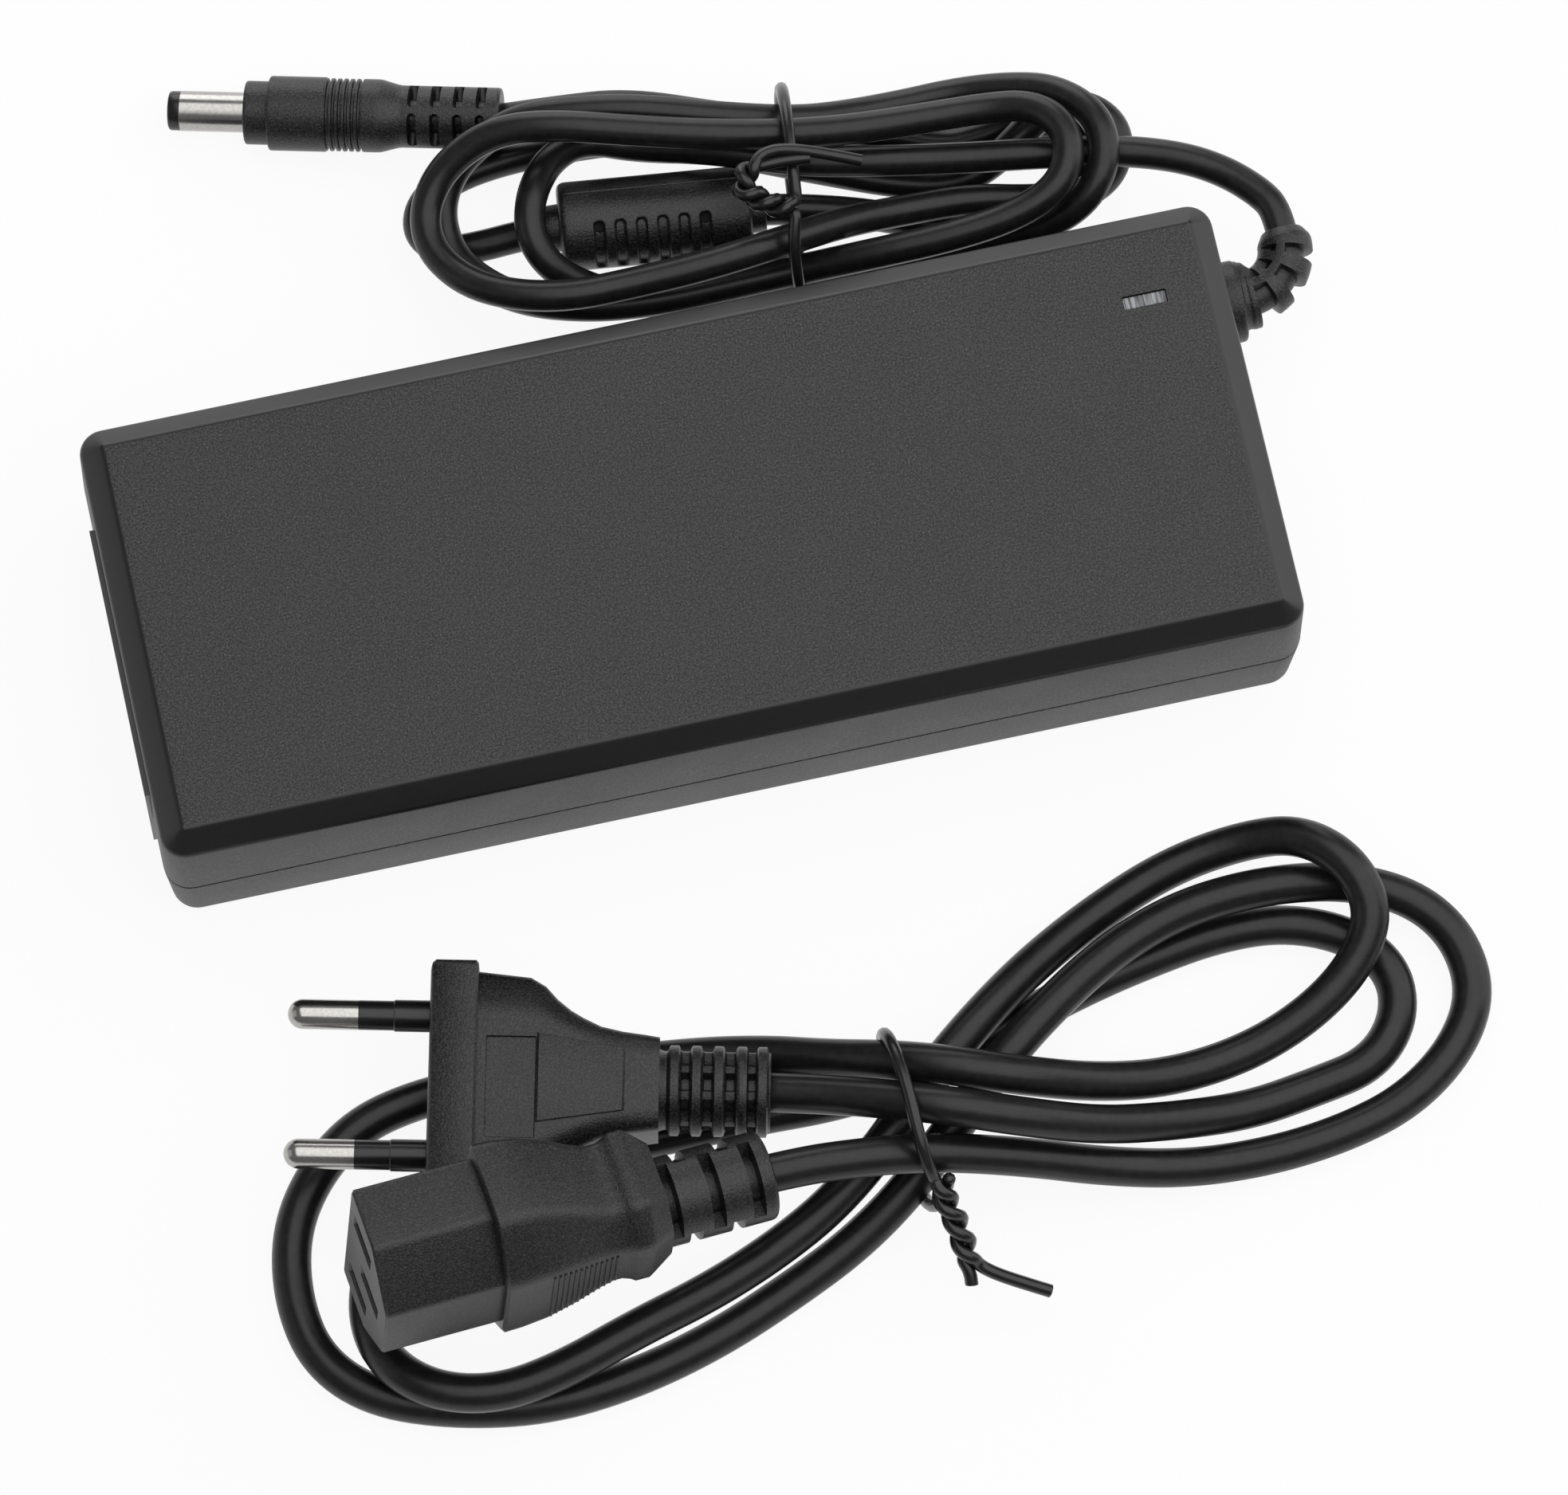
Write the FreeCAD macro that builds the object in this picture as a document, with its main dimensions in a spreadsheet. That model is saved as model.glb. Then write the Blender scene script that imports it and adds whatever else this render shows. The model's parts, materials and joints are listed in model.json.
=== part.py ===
"""Laptop power adapter: a two-shell brick with its electronics, a DC cord set and a detached mains lead.

The frame is the brick's: +X along its length towards the DC cord, +Y towards the back, +Z up, and the
origin at the middle of the brick's underside. All lengths are millimetres.
"""
import FreeCAD
import Part
import Sketcher
import math
import os
import re

Vector = FreeCAD.Vector
Rotation = FreeCAD.Rotation
Placement = FreeCAD.Placement

# Driving dimensions
SIZES = {
    # Case
    "case_length": 155.0,
    "case_width": 60.8,
    "case_height": 31.7,
    "parting_height": 14.3,
    "upper_draft": 0.3,
    "lower_draft": 0.5,
    "shell_step": 0.15,
    "corner_radius": 3.6,
    "rim_width": 3.1,
    "rim_height": 2.9,
    "rim_corner": 0.4,
    "foot_round": 1.2,
    "wall": 2.4,
    "inner_corner": 1.2,
    "floor_thickness": 2.2,
    "roof_thickness": 2.3,
    "roof_inset": 2.0,
    "roof_slope": 1.4,
    "lip_height": 1.6,
    "lip_thickness": 1.0,
    "fit_gap": 0.15,
    # Light window
    "window_length": 6.0,
    "window_width": 1.9,
    "window_end": 11.8,
    "window_from_side": 12.9,
    "window_recess": 0.3,
    "window_depth": 14.0,
    # DC cord's way out
    "gland_side": 20.0,
    "gland_height": 14.5,
    "flange_radius": 5.6,
    "flange_thickness": 2.7,
    "neck_radius": 4.1,
    "neck_length": 0.8,
    "bend_radius": 6.9,
    "boot_core": 2.75,
    "spine_width": 1.6,
    "boot_tip": 1.5,
    "dc_cord": 4.3,
    "dc_tail_inside": 3.0,
    # Mains inlet
    "inlet_side": -1.2,
    "inlet_height": 15.0,
    "inlet_proud": 0.5,
    "inlet_depth": 21.0,
    "bezel_width": 37.4,
    "bezel_tall": 22.0,
    "bezel_thickness": 2.9,
    "inlet_width": 28.6,
    "inlet_tall": 19.8,
    "socket_depth": 17.0,
    "socket_gap": 0.3,
    "blade_tall": 4.0,
    "blade_thickness": 2.0,
    "blade_length": 15.5,
    "blade_tail": 2.4,
    "pin_spacing": 14.0,
    "line_row": 2.5,
    "earth_row": 1.5,
    # Mains connector
    "nose_width": 24.0,
    "nose_tall": 16.0,
    "nose_length": 16.5,
    "nose_cut_wide": 6.5,
    "nose_cut_tall": 7.0,
    "slot_tall": 6.5,
    "slot_width": 2.3,
    "slot_depth": 2.0,
    "contact_room": 3.4,
    "contact_length": 14.0,
    "contact_sheet": 0.5,
    "grip_width": 27.5,
    "grip_tall": 18.5,
    "grip_corner": 3.0,
    "grip_straight": 2.5,
    "grip_swell": 10.0,
    "grip_swell_width": 22.8,
    "grip_swell_tall": 16.6,
    "grip_waist": 15.5,
    "grip_waist_width": 17.0,
    "grip_waist_tall": 14.6,
    "finger_stop": 18.4,
    "finger_stop_length": 2.6,
    "finger_stop_width": 20.0,
    "finger_stop_tall": 17.2,
    "grip_length": 38.7,
    "grip_end_width": 15.0,
    "grip_end_tall": 13.5,
    "grip_end_corner": 2.0,
    "contact_gap": 0.1,
    # Mains plug
    "plate_width": 31.6,
    "plate_tall": 13.7,
    "plate_thickness": 6.3,
    "plug_tall": 12.0,
    "shoulder_width": 30.2,
    "shoulder_sink": 0.5,
    "shoulder_taper": 1.8,
    "shoulder_end": 13.8,
    "hip_width": 19.6,
    "hip_end": 18.4,
    "waist_width": 15.2,
    "waist_end": 22.6,
    "plug_neck": 13.0,
    "plug_length": 30.0,
    "plug_pin": 4.0,
    "plug_pin_core": 3.0,
    "plug_pin_length": 19.0,
    "plug_pin_bare": 9.4,
    "plug_pin_root": 8.0,
    "plug_pin_spacing": 19.0,
    # Both mains reliefs
    "mains_cord": 5.3,
    "mains_relief": 12.0,
    "mains_relief_core": 7.5,
    "mains_spine": 2.6,
    "plug_slot": 1.1,
    "plug_slot_first": 2.2,
    "plug_slot_pitch": 2.9,
    "connector_slot": 2.0,
    "connector_slot_first": 2.1,
    "connector_slot_pitch": 5.8,
    "cord_seat": 8.0,
    # DC plug
    "barrel_outer": 5.5,
    "barrel_inner": 4.9,
    "barrel_bare": 9.0,
    "barrel_seat": 5.0,
    "barrel_flare": 0.4,
    "tip_ring_length": 1.6,
    "contact_outer": 3.1,
    "contact_bore": 2.5,
    "collar_radius": 4.35,
    "collar_length": 3.2,
    "plug_radius": 5.1,
    "plug_grip_end": 22.3,
    "ring_groove": 0.45,
    "ring_zone": 4.6,
    "rear_length": 2.3,
    "rear_taper": 2.3,
    "rear_step": 0.3,
    "dc_relief_radius": 4.25,
    "dc_relief_draft": 0.2,
    "dc_relief_core": 3.1,
    "dc_spine": 1.3,
    "dc_slot": 1.1,
    "dc_slot_first": 33.4,
    "dc_slot_pitch": 3.2,
    # Choke
    "choke_radius": 6.1,
    "choke_boot": 2.6,
    "choke_boot_length": 2.0,
    "ferrite_radius": 5.0,
    "ferrite_bore": 5.2,
    "ferrite_length": 22.0,
    "grip_slot": 1.4,
    "grip_slot_depth": 0.5,
    "grip_slot_pitch": 3.0,
    # Ties
    "tie_wire": 1.5,
    # Board and what carries it
    "board_gap": 0.5,
    "board_end_gap": 2.0,
    "board_side_gap": 0.85,
    "board_thickness": 1.6,
    "post_height": 4.4,
    "post_radius": 2.2,
    "post_inset": 3.0,
    "post_end_inset": 3.2,
    "post_root": 0.5,
    "sheet_end_margin": 1.0,
    "lamp_room": 3.0,
    "sheet_margin": 0.6,
    "lower_sheet": 1.0,
    "insulation": 0.4,
    "upper_sheet": 1.0,
    "upper_sheet_margin": 14.0,
    "wire": 1.6,
    "lead": 0.8,
    "stand_off": 0.3,
    # Parts on the board
    "fuse_radius": 2.6,
    "fuse_start": 4.5,
    "fuse_margin": 2.0,
    "fuse_lead_inset": 2.0,
    "varistor_radius": 5.0,
    "varistor_thickness": 4.0,
    "varistor_leads": 5.0,
    "xcap_start": 7.5,
    "xcap_margin": 1.0,
    "xcap_width": 8.5,
    "xcap_tall": 14.0,
    "toroid_start": 3.0,
    "toroid_margin": 1.5,
    "toroid_section": 3.2,
    "toroid_winding": 4.0,
    "toroid_turns_angle": 130.0,
    "bridge_length": 20.0,
    "bridge_width": 3.6,
    "bridge_tall": 15.0,
    "bridge_lift": 3.0,
    "bridge_pitch": 5.0,
    "bulk_headroom": 2.2,
    "bulk_start": 37.0,
    "bulk_margin": 2.5,
    "bulk_crimp": 4.0,
    "bulk_crimp_width": 1.0,
    "bulk_crimp_depth": 0.6,
    "boost_length": 20.0,
    "boost_start": 7.5,
    "boost_margin": 1.0,
    "boost_headroom": 4.2,
    "boost_leg": 3.2,
    "boost_side": 2.4,
    "boost_plate": 3.0,
    "trafo_length": 30.0,
    "trafo_gap": 2.8,
    "trafo_width": 26.0,
    "trafo_headroom": 2.2,
    "trafo_leg": 4.5,
    "trafo_side": 3.0,
    "trafo_plate": 3.5,
    "bobbin_wall": 0.8,
    "winding_gap": 0.3,
    "winding_sink": 0.4,
    "fin_headroom": 3.2,
    "fin_thickness": 2.0,
    "fin_inset": 1.7,
    "primary_fin_start": 36.3,
    "primary_fin_end": 43.3,
    "secondary_fin": 40.0,
    "package_width": 10.2,
    "package_thickness": 4.5,
    "package_headroom": 0.7,
    "package_lift": 4.0,
    "package_tab": 6.5,
    "package_tab_overlap": 0.5,
    "package_tab_thickness": 1.3,
    "package_pitch": 2.54,
    "disc_radius": 4.0,
    "disc_thickness": 4.0,
    "disc_leads": 4.0,
    "opto_length": 4.6,
    "opto_width": 6.5,
    "opto_tall": 3.5,
    "chip_length": 5.0,
    "chip_width": 4.0,
    "chip_tall": 1.6,
    "outcap_radius": 5.0,
    "outcap_headroom": 1.2,
    "outcap_end": 21.0,
    "outcap_gap": 1.8,
    "outcap_spacing": 12.0,
    "rod_core": 2.4,
    "rod_winding": 4.0,
    "rod_length": 14.0,
    "rod_end": 1.5,
    "lamp_radius": 1.5,
    "lamp_tall": 4.6,
    "lamp_rim": 0.3,
    "lamp_flange": 1.0,
    "lamp_stem": 2.0,
    "wire_run": 2.2,
    "wire_gap": 0.2,
}

# Middle of each part on the board: x from the board's inlet end, its middle or its cord end, and y
PLACES = {
    "fuse": ("board_start + 10", "fuse_start + fuse_length / 2"),
    "surge_varistor": ("board_start + 10", "-1.5"),
    "x_capacitor": ("board_start + 10", "-xcap_start - xcap_length / 2"),
    "common_mode": ("board_start + 26.2", "toroid_start + toroid_ring + toroid_winding"),
    "bridge_rectifier": ("board_start + 25.5", "-5"),
    "boost": ("board_start + 25.5", "-boost_start - boost_width / 2"),
    "bulk_capacitor": ("board_start + bulk_start + bulk_length / 2", "board_side - bulk_margin - bulk_radius"),
    "control_chip": ("board_middle - 14", "-2"),
    "y_capacitor": ("board_middle - 6", "-10"),
    "primary_side": ("board_start + primary_fin_start + primary_fin / 2", "0"),
    "transformer": ("board_start + bulk_start + bulk_length + trafo_gap + trafo_length / 2", "1"),
    "secondary_side": ("board_end - 30", "0"),
    "optocoupler": ("board_end - 26", "-17"),
    "output_capacitors": ("board_end - outcap_end", "0"),
    "output_choke": ("board_end - 9", "-6"),
}

# DC cord from the bend relief, in loose loops, through the choke, once round and to the plug
DC_TAIL = [
    (87.9, 28.5, 14.5), (87.9, 31.5, 14.5), (86.5, 34.5, 14), (82.5, 39, 13), (77, 42.5, 12.5), (69, 45.5, 11.5),
    (59.5, 47, 12), (48, 49, 11), (37, 51, 11),
]
DC_HANK = [
    (26, 53, 12), (15, 57.5, 11.5), (6, 61, 7.5),
    (-1, 63.5, 8.5), (-6.5, 61, 10.5), (-10, 56, 13), (-11.5, 51, 13), (-10.5, 47, 11.5), (-7.5, 44, 9),
    (-2, 41.5, 6), (6.5, 39, 3.5), (17.5, 38, 3.5), (28.5, 38, 4), (39.5, 38, 5), (49.5, 37.5, 8),
    (58, 37, 11.5), (63.5, 38.5, 15), (67, 43, 17), (67, 49.5, 16.5), (62.5, 55, 14), (56.5, 57.5, 11.5),
    (49.5, 59, 9), (42, 59, 8.5), (34, 58.5, 10.5), (27, 58, 14), (16.5, 60, 16.5), (6.5, 63, 17.5),
    (-2.5, 65, 16.5), (-9, 66, 15), (-14.5, 65, 13), (-19.5, 62.5, 10.5), (-22.5, 58, 8.5), (-22.5, 52, 8),
    (-19.5, 46.5, 9), (-14, 41.5, 11), (-5.5, 38.5, 12), (3, 38, 10.5), (12, 38.5, 9), (22, 39, 8),
    (33.5, 37.5, 13), (43.5, 37, 15), (52.5, 37.5, 16.5), (59, 39.5, 18), (62, 43.5, 19), (62, 48.5, 18.5),
    (58.5, 52.5, 17), (52.5, 54, 15), (44.5, 54.5, 14.5), (34, 54.5, 16), (24, 55, 18.5), (13, 57, 20),
    (3.5, 59.5, 20.5), (-5, 62, 20.5), (-11.5, 63.5, 19), (-17, 63, 17), (-22, 60.5, 14.5), (-25, 56, 13),
    (-25, 50.5, 13), (-21.5, 45, 14), (-15.5, 41, 16), (-8, 39, 17), (0, 39, 17), (10, 39, 18),
    (20, 40, 18), (30.5, 43.5, 11), (40, 44.5, 7.5), (48.5, 44, 8), (57, 42, 8), (64, 41.5, 7),
    (69, 44.5, 6.5), (70.5, 50, 7), (67, 54.5, 7), (61, 54.5, 7.5), (56, 51, 6.5), (51, 48.5, 5),
    (46, 48, 3.5), (38.5, 50.5, 3), (31, 53.5, 3.5), (22.5, 57, 4), (13.5, 61.5, 3), (4.5, 64.5, 2.2),
    (-4, 65, 2.2), (-12, 65, 2.2), (-19, 64, 2.2), (-24.5, 61.5, 2.2), (-26, 57, 2.2), (-23, 53.5, 2.5),
    (-18, 53, 3.5), (-12.5, 53, 4.5), (-7, 52.5, 6.1),
]
DC_PLUG_END = [
    (19, 49.5, 6.1), (26.5, 48.5, 4.5), (35, 46.5, 3),
    (43.5, 43, 2.5), (52, 41, 2.2), (59.5, 41, 2.2), (65.5, 44, 2.2), (67, 49.5, 2.2), (63.5, 54, 2.2),
    (57.5, 55.5, 2.2), (52, 54.5, 2.2), (46.5, 54, 2.5), (38.5, 57.5, 4), (29, 59.5, 6), (17.5, 63, 7.5),
    (5.5, 65.5, 13.5), (-4, 67.5, 10.5), (-11.5, 69, 7.5),
]
DC_ROUTE = DC_TAIL + DC_HANK + DC_PLUG_END
CHOKE_OUT = len(DC_TAIL + DC_HANK)
DC_PLUG_TIP = (-55.5, 81.0, 4.2)

# Mains cord from its connector, in loose loops, to the plug
MAINS_CONNECTOR_END = [
    (-8.5, -85.8, 19), (-3.5, -85.6, 18.6), (2.5, -85.8, 17.8), (9.5, -86.2, 16.2), (17, -87, 13.5),
    (26.5, -89, 10.5),
    (36.5, -91.5, 6.5),
]
MAINS_HANK = [
    (47, -93.5, 4), (58, -94, 3), (68.5, -93, 2.7), (78, -90.5, 2.7), (86, -85, 2.7),
    (90.5, -78, 2.7), (90, -70, 2.7), (85.5, -63.5, 3), (77, -59.5, 4.5), (65.5, -58.5, 7.5), (53.5, -59.5, 8),
    (43, -63.5, 9), (33.5, -69.5, 10.5), (25, -76, 11), (17.5, -82.5, 8), (10, -89, 6), (2, -94, 4),
    (-7, -98, 3), (-18.5, -102.5, 2.7), (-30.5, -105.5, 2.7), (-42.5, -106.5, 2.7), (-54.5, -104.5, 2.7),
    (-65, -100.5, 2.7), (-71, -94, 2.7), (-72.5, -85.5, 2.7), (-71, -76.5, 2.7), (-66.5, -69.5, 2.7),
    (-59.5, -64, 2.7), (-50.5, -62, 2.7), (-40.5, -62, 2.7), (-28.5, -63, 2.7), (-16, -64, 3), (-5, -66.5, 5.5),
    (3.5, -70, 9.5), (11, -73, 14.5), (18.5, -76, 17), (26.5, -79, 16.5), (37.5, -81, 10.5), (48, -81.5, 6.5),
    (59, -80, 5.5), (68.5, -76.5, 6.5), (75.5, -71.5, 8), (79, -65.5, 10), (77, -58.5, 11.5), (71.5, -53, 9.5),
    (64, -51.5, 6), (54, -52.5, 4), (43.5, -56.5, 4), (33.5, -62, 6.5), (24.5, -68.5, 9.5), (16.5, -75, 10.5),
    (9, -82, 8.5), (0.5, -88.5, 7), (-8, -93, 7), (-18, -97, 7.5), (-29, -100, 8), (-39.5, -103.5, 8.5),
    (-48.5, -105, 9), (-56.5, -103, 9), (-62, -98, 8), (-63.5, -91, 3.5), (-62, -84.5, 2.7), (-58.5, -79, 2.7),
    (-52.5, -75.5, 2.7), (-43, -74.5, 2.7), (-32, -74, 2.7), (-20, -74, 2.7), (-8, -74, 3), (2.5, -74.5, 3.5),
    (11.5, -74, 4.5), (19.5, -72, 4), (29, -69, 3), (39, -66, 2.7), (48.5, -64, 2.7), (58.5, -62.5, 2.7),
    (68, -63, 2.7), (76.5, -67, 2.7), (80.5, -73, 2.7), (79.5, -79.5, 2.7), (74.5, -84.5, 2.7), (66.5, -86, 3),
    (57, -87.5, 4), (47, -87.5, 7),
]
MAINS_PLUG_END = [
    (36.5, -87, 11.5), (26.5, -85, 17), (17.5, -82, 19), (9, -78.5, 16.5), (1, -75.5, 14), (-5.5, -73.5, 12.5),
]
MAINS_ROUTE = MAINS_CONNECTOR_END + MAINS_HANK + MAINS_PLUG_END
MAINS_PLUG_FACE = (-49.1, -63.1, 12.5)
CONNECTOR_FACE = (-62.9, -90.6, 26.8)
CONNECTOR_ROLL = 79

# Twisted wires round the two hanks, from one free end to the other
DC_TIE = [
    (25.5, 48.7, 23.2), (22.5, 49.6, 23.4), (20.2, 49.3, 23.3), (19.2, 47.8, 22.9), (20.2, 46.5, 22.4),
    (22.8, 46.2, 21.8), (24.6, 48, 21.1), (25.2, 55, 21.8), (25.8, 60.3, 18.5), (26.3, 63.6, 12.5), (26.4, 64.4, 6),
    (26.2, 62, 1.2), (26, 56, 0.8), (25, 48, 0.8), (24, 41, 0.8), (23.5, 36, 0.8), (23.2, 34, 3.5),
    (23.2, 34.4, 12), (23.4, 36, 17.5), (23.7, 39, 20.3), (23.9, 42.3, 21.2), (21.5, 43.5, 21.8),
    (18.5, 44, 22.3), (16, 46, 22.6), (16.5, 49, 22.9), (18.5, 51.3, 23.2), (22, 51.9, 23.4),
    (26.3, 51, 23.3), (30, 49.2, 22.3), (34, 47, 20.8),
]
MAINS_TIE = [
    (13.5, -104, 9), (13, -101, 11), (12.8, -98, 13.5), (12.4, -95, 16), (12.2, -91.5, 18.4), (12, -88, 20),
    (11.8, -84, 20.8), (11.5, -79, 21.3), (11.2, -74, 20), (11.1, -70, 17), (11.2, -68.8, 12), (11.2, -69.2, 7),
    (11.3, -69.8, 2.6), (11.4, -72, 0.8), (11.6, -77, 0.8), (11.8, -84, 0.8), (12, -89.5, 1.8),
    (12.3, -92.2, 6.5), (12.8, -93, 11),
    (14, -93.8, 14.6), (15.2, -95.8, 14.8), (15.6, -98.5, 13), (16.4, -101.3, 11), (18.5, -103.5, 10),
    (21.5, -105.5, 9), (25, -107.5, 8),
]

doc = FreeCAD.newDocument("laptop_power_adapter")
sheet = doc.addObject("Spreadsheet::Sheet", "Sizes")
for row, (alias, number) in enumerate(SIZES.items(), 1):
    sheet.set(f"A{row}", alias)
    sheet.set(f"B{row}", str(number))
    sheet.setAlias(f"B{row}", alias)
doc.recompute()

# Places worked out from the driving dimensions
DERIVED = {
    "case_end": "(case_length / 2)",
    "roof_under": "(case_height - roof_thickness)",
    "inlet_face": "(-case_end - inlet_proud)",
    "inlet_back": "(inlet_face + inlet_depth)",
    "board_start": "(inlet_back + board_gap)",
    "board_end": "(case_end - wall - board_end_gap)",
    "board_length": "(board_end - board_start)",
    "board_middle": "((board_end + board_start) / 2)",
    "board_under": "(floor_thickness + post_height)",
    "board_top": "(board_under + board_thickness)",
    "board_width": "(case_width - 2 * (wall + shell_step + lower_draft + board_side_gap))",
    "board_side": "(board_width / 2)",
    "post_side": "(board_side - post_inset)",
    "sheet_width": "(2 * (post_side - post_radius - sheet_margin))",
    "window_place": "(case_end - window_end)",
    "window_side": "(case_width / 2 - window_from_side)",
    "bend_start": "(case_end + flange_thickness + neck_length)",
    "room": "(roof_under - upper_sheet - board_top)",
    "fuse_length": "(board_side - fuse_margin - fuse_start)",
    "xcap_length": "(board_side - xcap_margin - xcap_start)",
    "toroid_ring": "((board_side - toroid_margin - toroid_start) / 2 - toroid_winding)",
    "boost_width": "(board_side - boost_margin - boost_start)",
    "boost_tall": "(room - boost_headroom)",
    "bulk_radius": "((room - bulk_headroom) / 2)",
    "middle_run": "(board_length - bulk_start - trafo_gap - outcap_gap - outcap_end - outcap_radius)",
    "bulk_length": "(middle_run - trafo_length)",
    "trafo_tall": "(room - trafo_headroom)",
    "primary_fin": "(board_length - primary_fin_start - primary_fin_end)",
    "fin_tall": "(room - fin_headroom)",
    "package_tall": "(room - package_headroom - package_lift)",
    "outcap_tall": "(room - outcap_headroom)",
}
WORD = re.compile(r"[a-z][a-z_]*[a-z]")
AXES = {"x": Rotation(Vector(0, 1, 0), 90), "y": Rotation(Vector(1, 0, 0), -90), "z": Rotation()}
nodes = {}


def formula(text):
    """The expression with its derived places worked out and its sizes named in the sheet."""
    while any(word in DERIVED for word in WORD.findall(text)):
        text = WORD.sub(lambda found: DERIVED.get(found.group(), found.group()), text)
    return WORD.sub(lambda found: "Sizes." + found.group() if found.group() in SIZES else found.group(), text)


def size(alias):
    return float(sheet.get(alias))


def bind(thing, **properties):
    for name, text in properties.items():
        thing.setExpression(name.replace("_at_", ".Base."), formula(text))
    return thing


def put(thing, x="0", y="0", z="0"):
    return bind(thing, Placement_at_x=x, Placement_at_y=y, Placement_at_z=z)


def block(name, length, width, height, x="0", y="0", z="0"):
    """A block centred on x and y that stands on z."""
    solid = bind(doc.addObject("Part::Box", name), Length=length, Width=width, Height=height)
    return put(solid, f"({x}) - ({length}) / 2", f"({y}) - ({width}) / 2", z)


def rod(name, radius, length, x="0", y="0", z="0", axis="z"):
    """A cylinder that starts at a point and runs along one axis."""
    solid = doc.addObject("Part::Cylinder", name)
    solid.Placement = Placement(Vector(), AXES[axis])
    return put(bind(solid, Radius=radius, Height=length), x, y, z)


def cone(name, radius, end_radius, length, x="0", y="0", z="0", axis="x"):
    solid = doc.addObject("Part::Cone", name)
    solid.Placement = Placement(Vector(), AXES[axis])
    return put(bind(solid, Radius1=radius, Radius2=end_radius, Height=length), x, y, z)


def join(name, *solids):
    fused = doc.addObject("Part::MultiFuse", name)
    fused.Shapes = list(solids)
    return fused


def cut(name, base, *tools):
    result = doc.addObject("Part::Cut", name)
    result.Base = base
    result.Tool = tools[0] if len(tools) == 1 else join(name + "_tools", *tools)
    return result


def group(name, *solids):
    """Separate solids of one kind in one node."""
    together = doc.addObject("Part::Compound", name)
    together.Links = list(solids)
    return together


def node(name, thing, placement=None):
    thing.Label = name
    if placement is not None:
        thing.Placement = placement
    nodes[name] = thing
    return thing


def lying(start, end, roll=0.0):
    """The placement of a piece whose own x axis runs from one point to another."""
    step = Vector(*end) - Vector(*start)
    yaw = math.degrees(math.atan2(step.y, step.x))
    pitch = -math.degrees(math.atan2(step.z, math.hypot(step.x, step.y)))
    return Placement(Vector(*start), Rotation(yaw, pitch, roll))


def origin_plane(body, role):
    return next(feature for feature in body.Origin.OriginFeatures if feature.Role == role)


def flat_sketch(body, name, role="XY_Plane", z="0"):
    sketch = body.newObject("Sketcher::SketchObject", name)
    sketch.AttachmentSupport = (origin_plane(body, role), "")
    sketch.MapMode = "FlatFace"
    return bind(sketch, AttachmentOffset_at_z=z)


def measure(sketch, kind, first, second, text):
    index = sketch.addConstraint(Sketcher.Constraint(kind, *first, *second, 10.0))
    sketch.setExpression(f"Constraints[{index}]", formula(text))


def rounded_sketch(body, name, length, width, radius, z):
    """A rounded rectangle centred on the origin, held by its two lengths and its corner radius."""
    sketch = flat_sketch(body, name, z=z)
    for quarter, (x, y) in enumerate(((1, 1), (-1, 1), (-1, -1), (1, -1))):
        circle = Part.Circle(Vector(40 * x, 20 * y, 0), Vector(0, 0, 1), 2)
        sketch.addGeometry(Part.ArcOfCircle(circle, quarter * math.pi / 2, (quarter + 1) * math.pi / 2))
    for quarter in range(4):
        start = sketch.Geometry[quarter].EndPoint
        end = sketch.Geometry[(quarter + 1) % 4].StartPoint
        sketch.addGeometry(Part.LineSegment(start, end))
    for quarter in range(4):
        line = quarter + 4
        sketch.addConstraint(Sketcher.Constraint("Tangent", quarter, 2, line, 1))
        sketch.addConstraint(Sketcher.Constraint("Tangent", line, 2, (quarter + 1) % 4, 1))
        sketch.addConstraint(Sketcher.Constraint("Vertical" if quarter % 2 else "Horizontal", line))
        if quarter:
            sketch.addConstraint(Sketcher.Constraint("Equal", 0, quarter))
    index = sketch.addConstraint(Sketcher.Constraint("Radius", 0, 2.0))
    sketch.setExpression(f"Constraints[{index}]", formula(radius))
    measure(sketch, "DistanceX", (-1, 1), (7, 1), f"({length}) / 2")
    measure(sketch, "DistanceX", (5, 1), (-1, 1), f"({length}) / 2")
    measure(sketch, "DistanceY", (-1, 1), (4, 1), f"({width}) / 2")
    measure(sketch, "DistanceY", (6, 1), (-1, 1), f"({width}) / 2")
    return sketch


def loft(body, kind, sections):
    """A straight-sided loft through rounded rectangles given as length, width, corner radius and height."""
    sketches = [rounded_sketch(body, f"{body.Name}_{kind}_{count}", *section)
                for count, section in enumerate(sections)]
    feature = body.newObject(f"PartDesign::{kind}Loft", f"{body.Name}_{kind}")
    feature.Profile = sketches[0]
    feature.Sections = sketches[1:]
    feature.Ruled = True
    doc.recompute()
    return feature


def shell(name, outside, inside=None):
    body = doc.addObject("PartDesign::Body", name)
    loft(body, "Additive", outside)
    if inside:
        loft(body, "Subtractive", inside)
    return body


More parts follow.
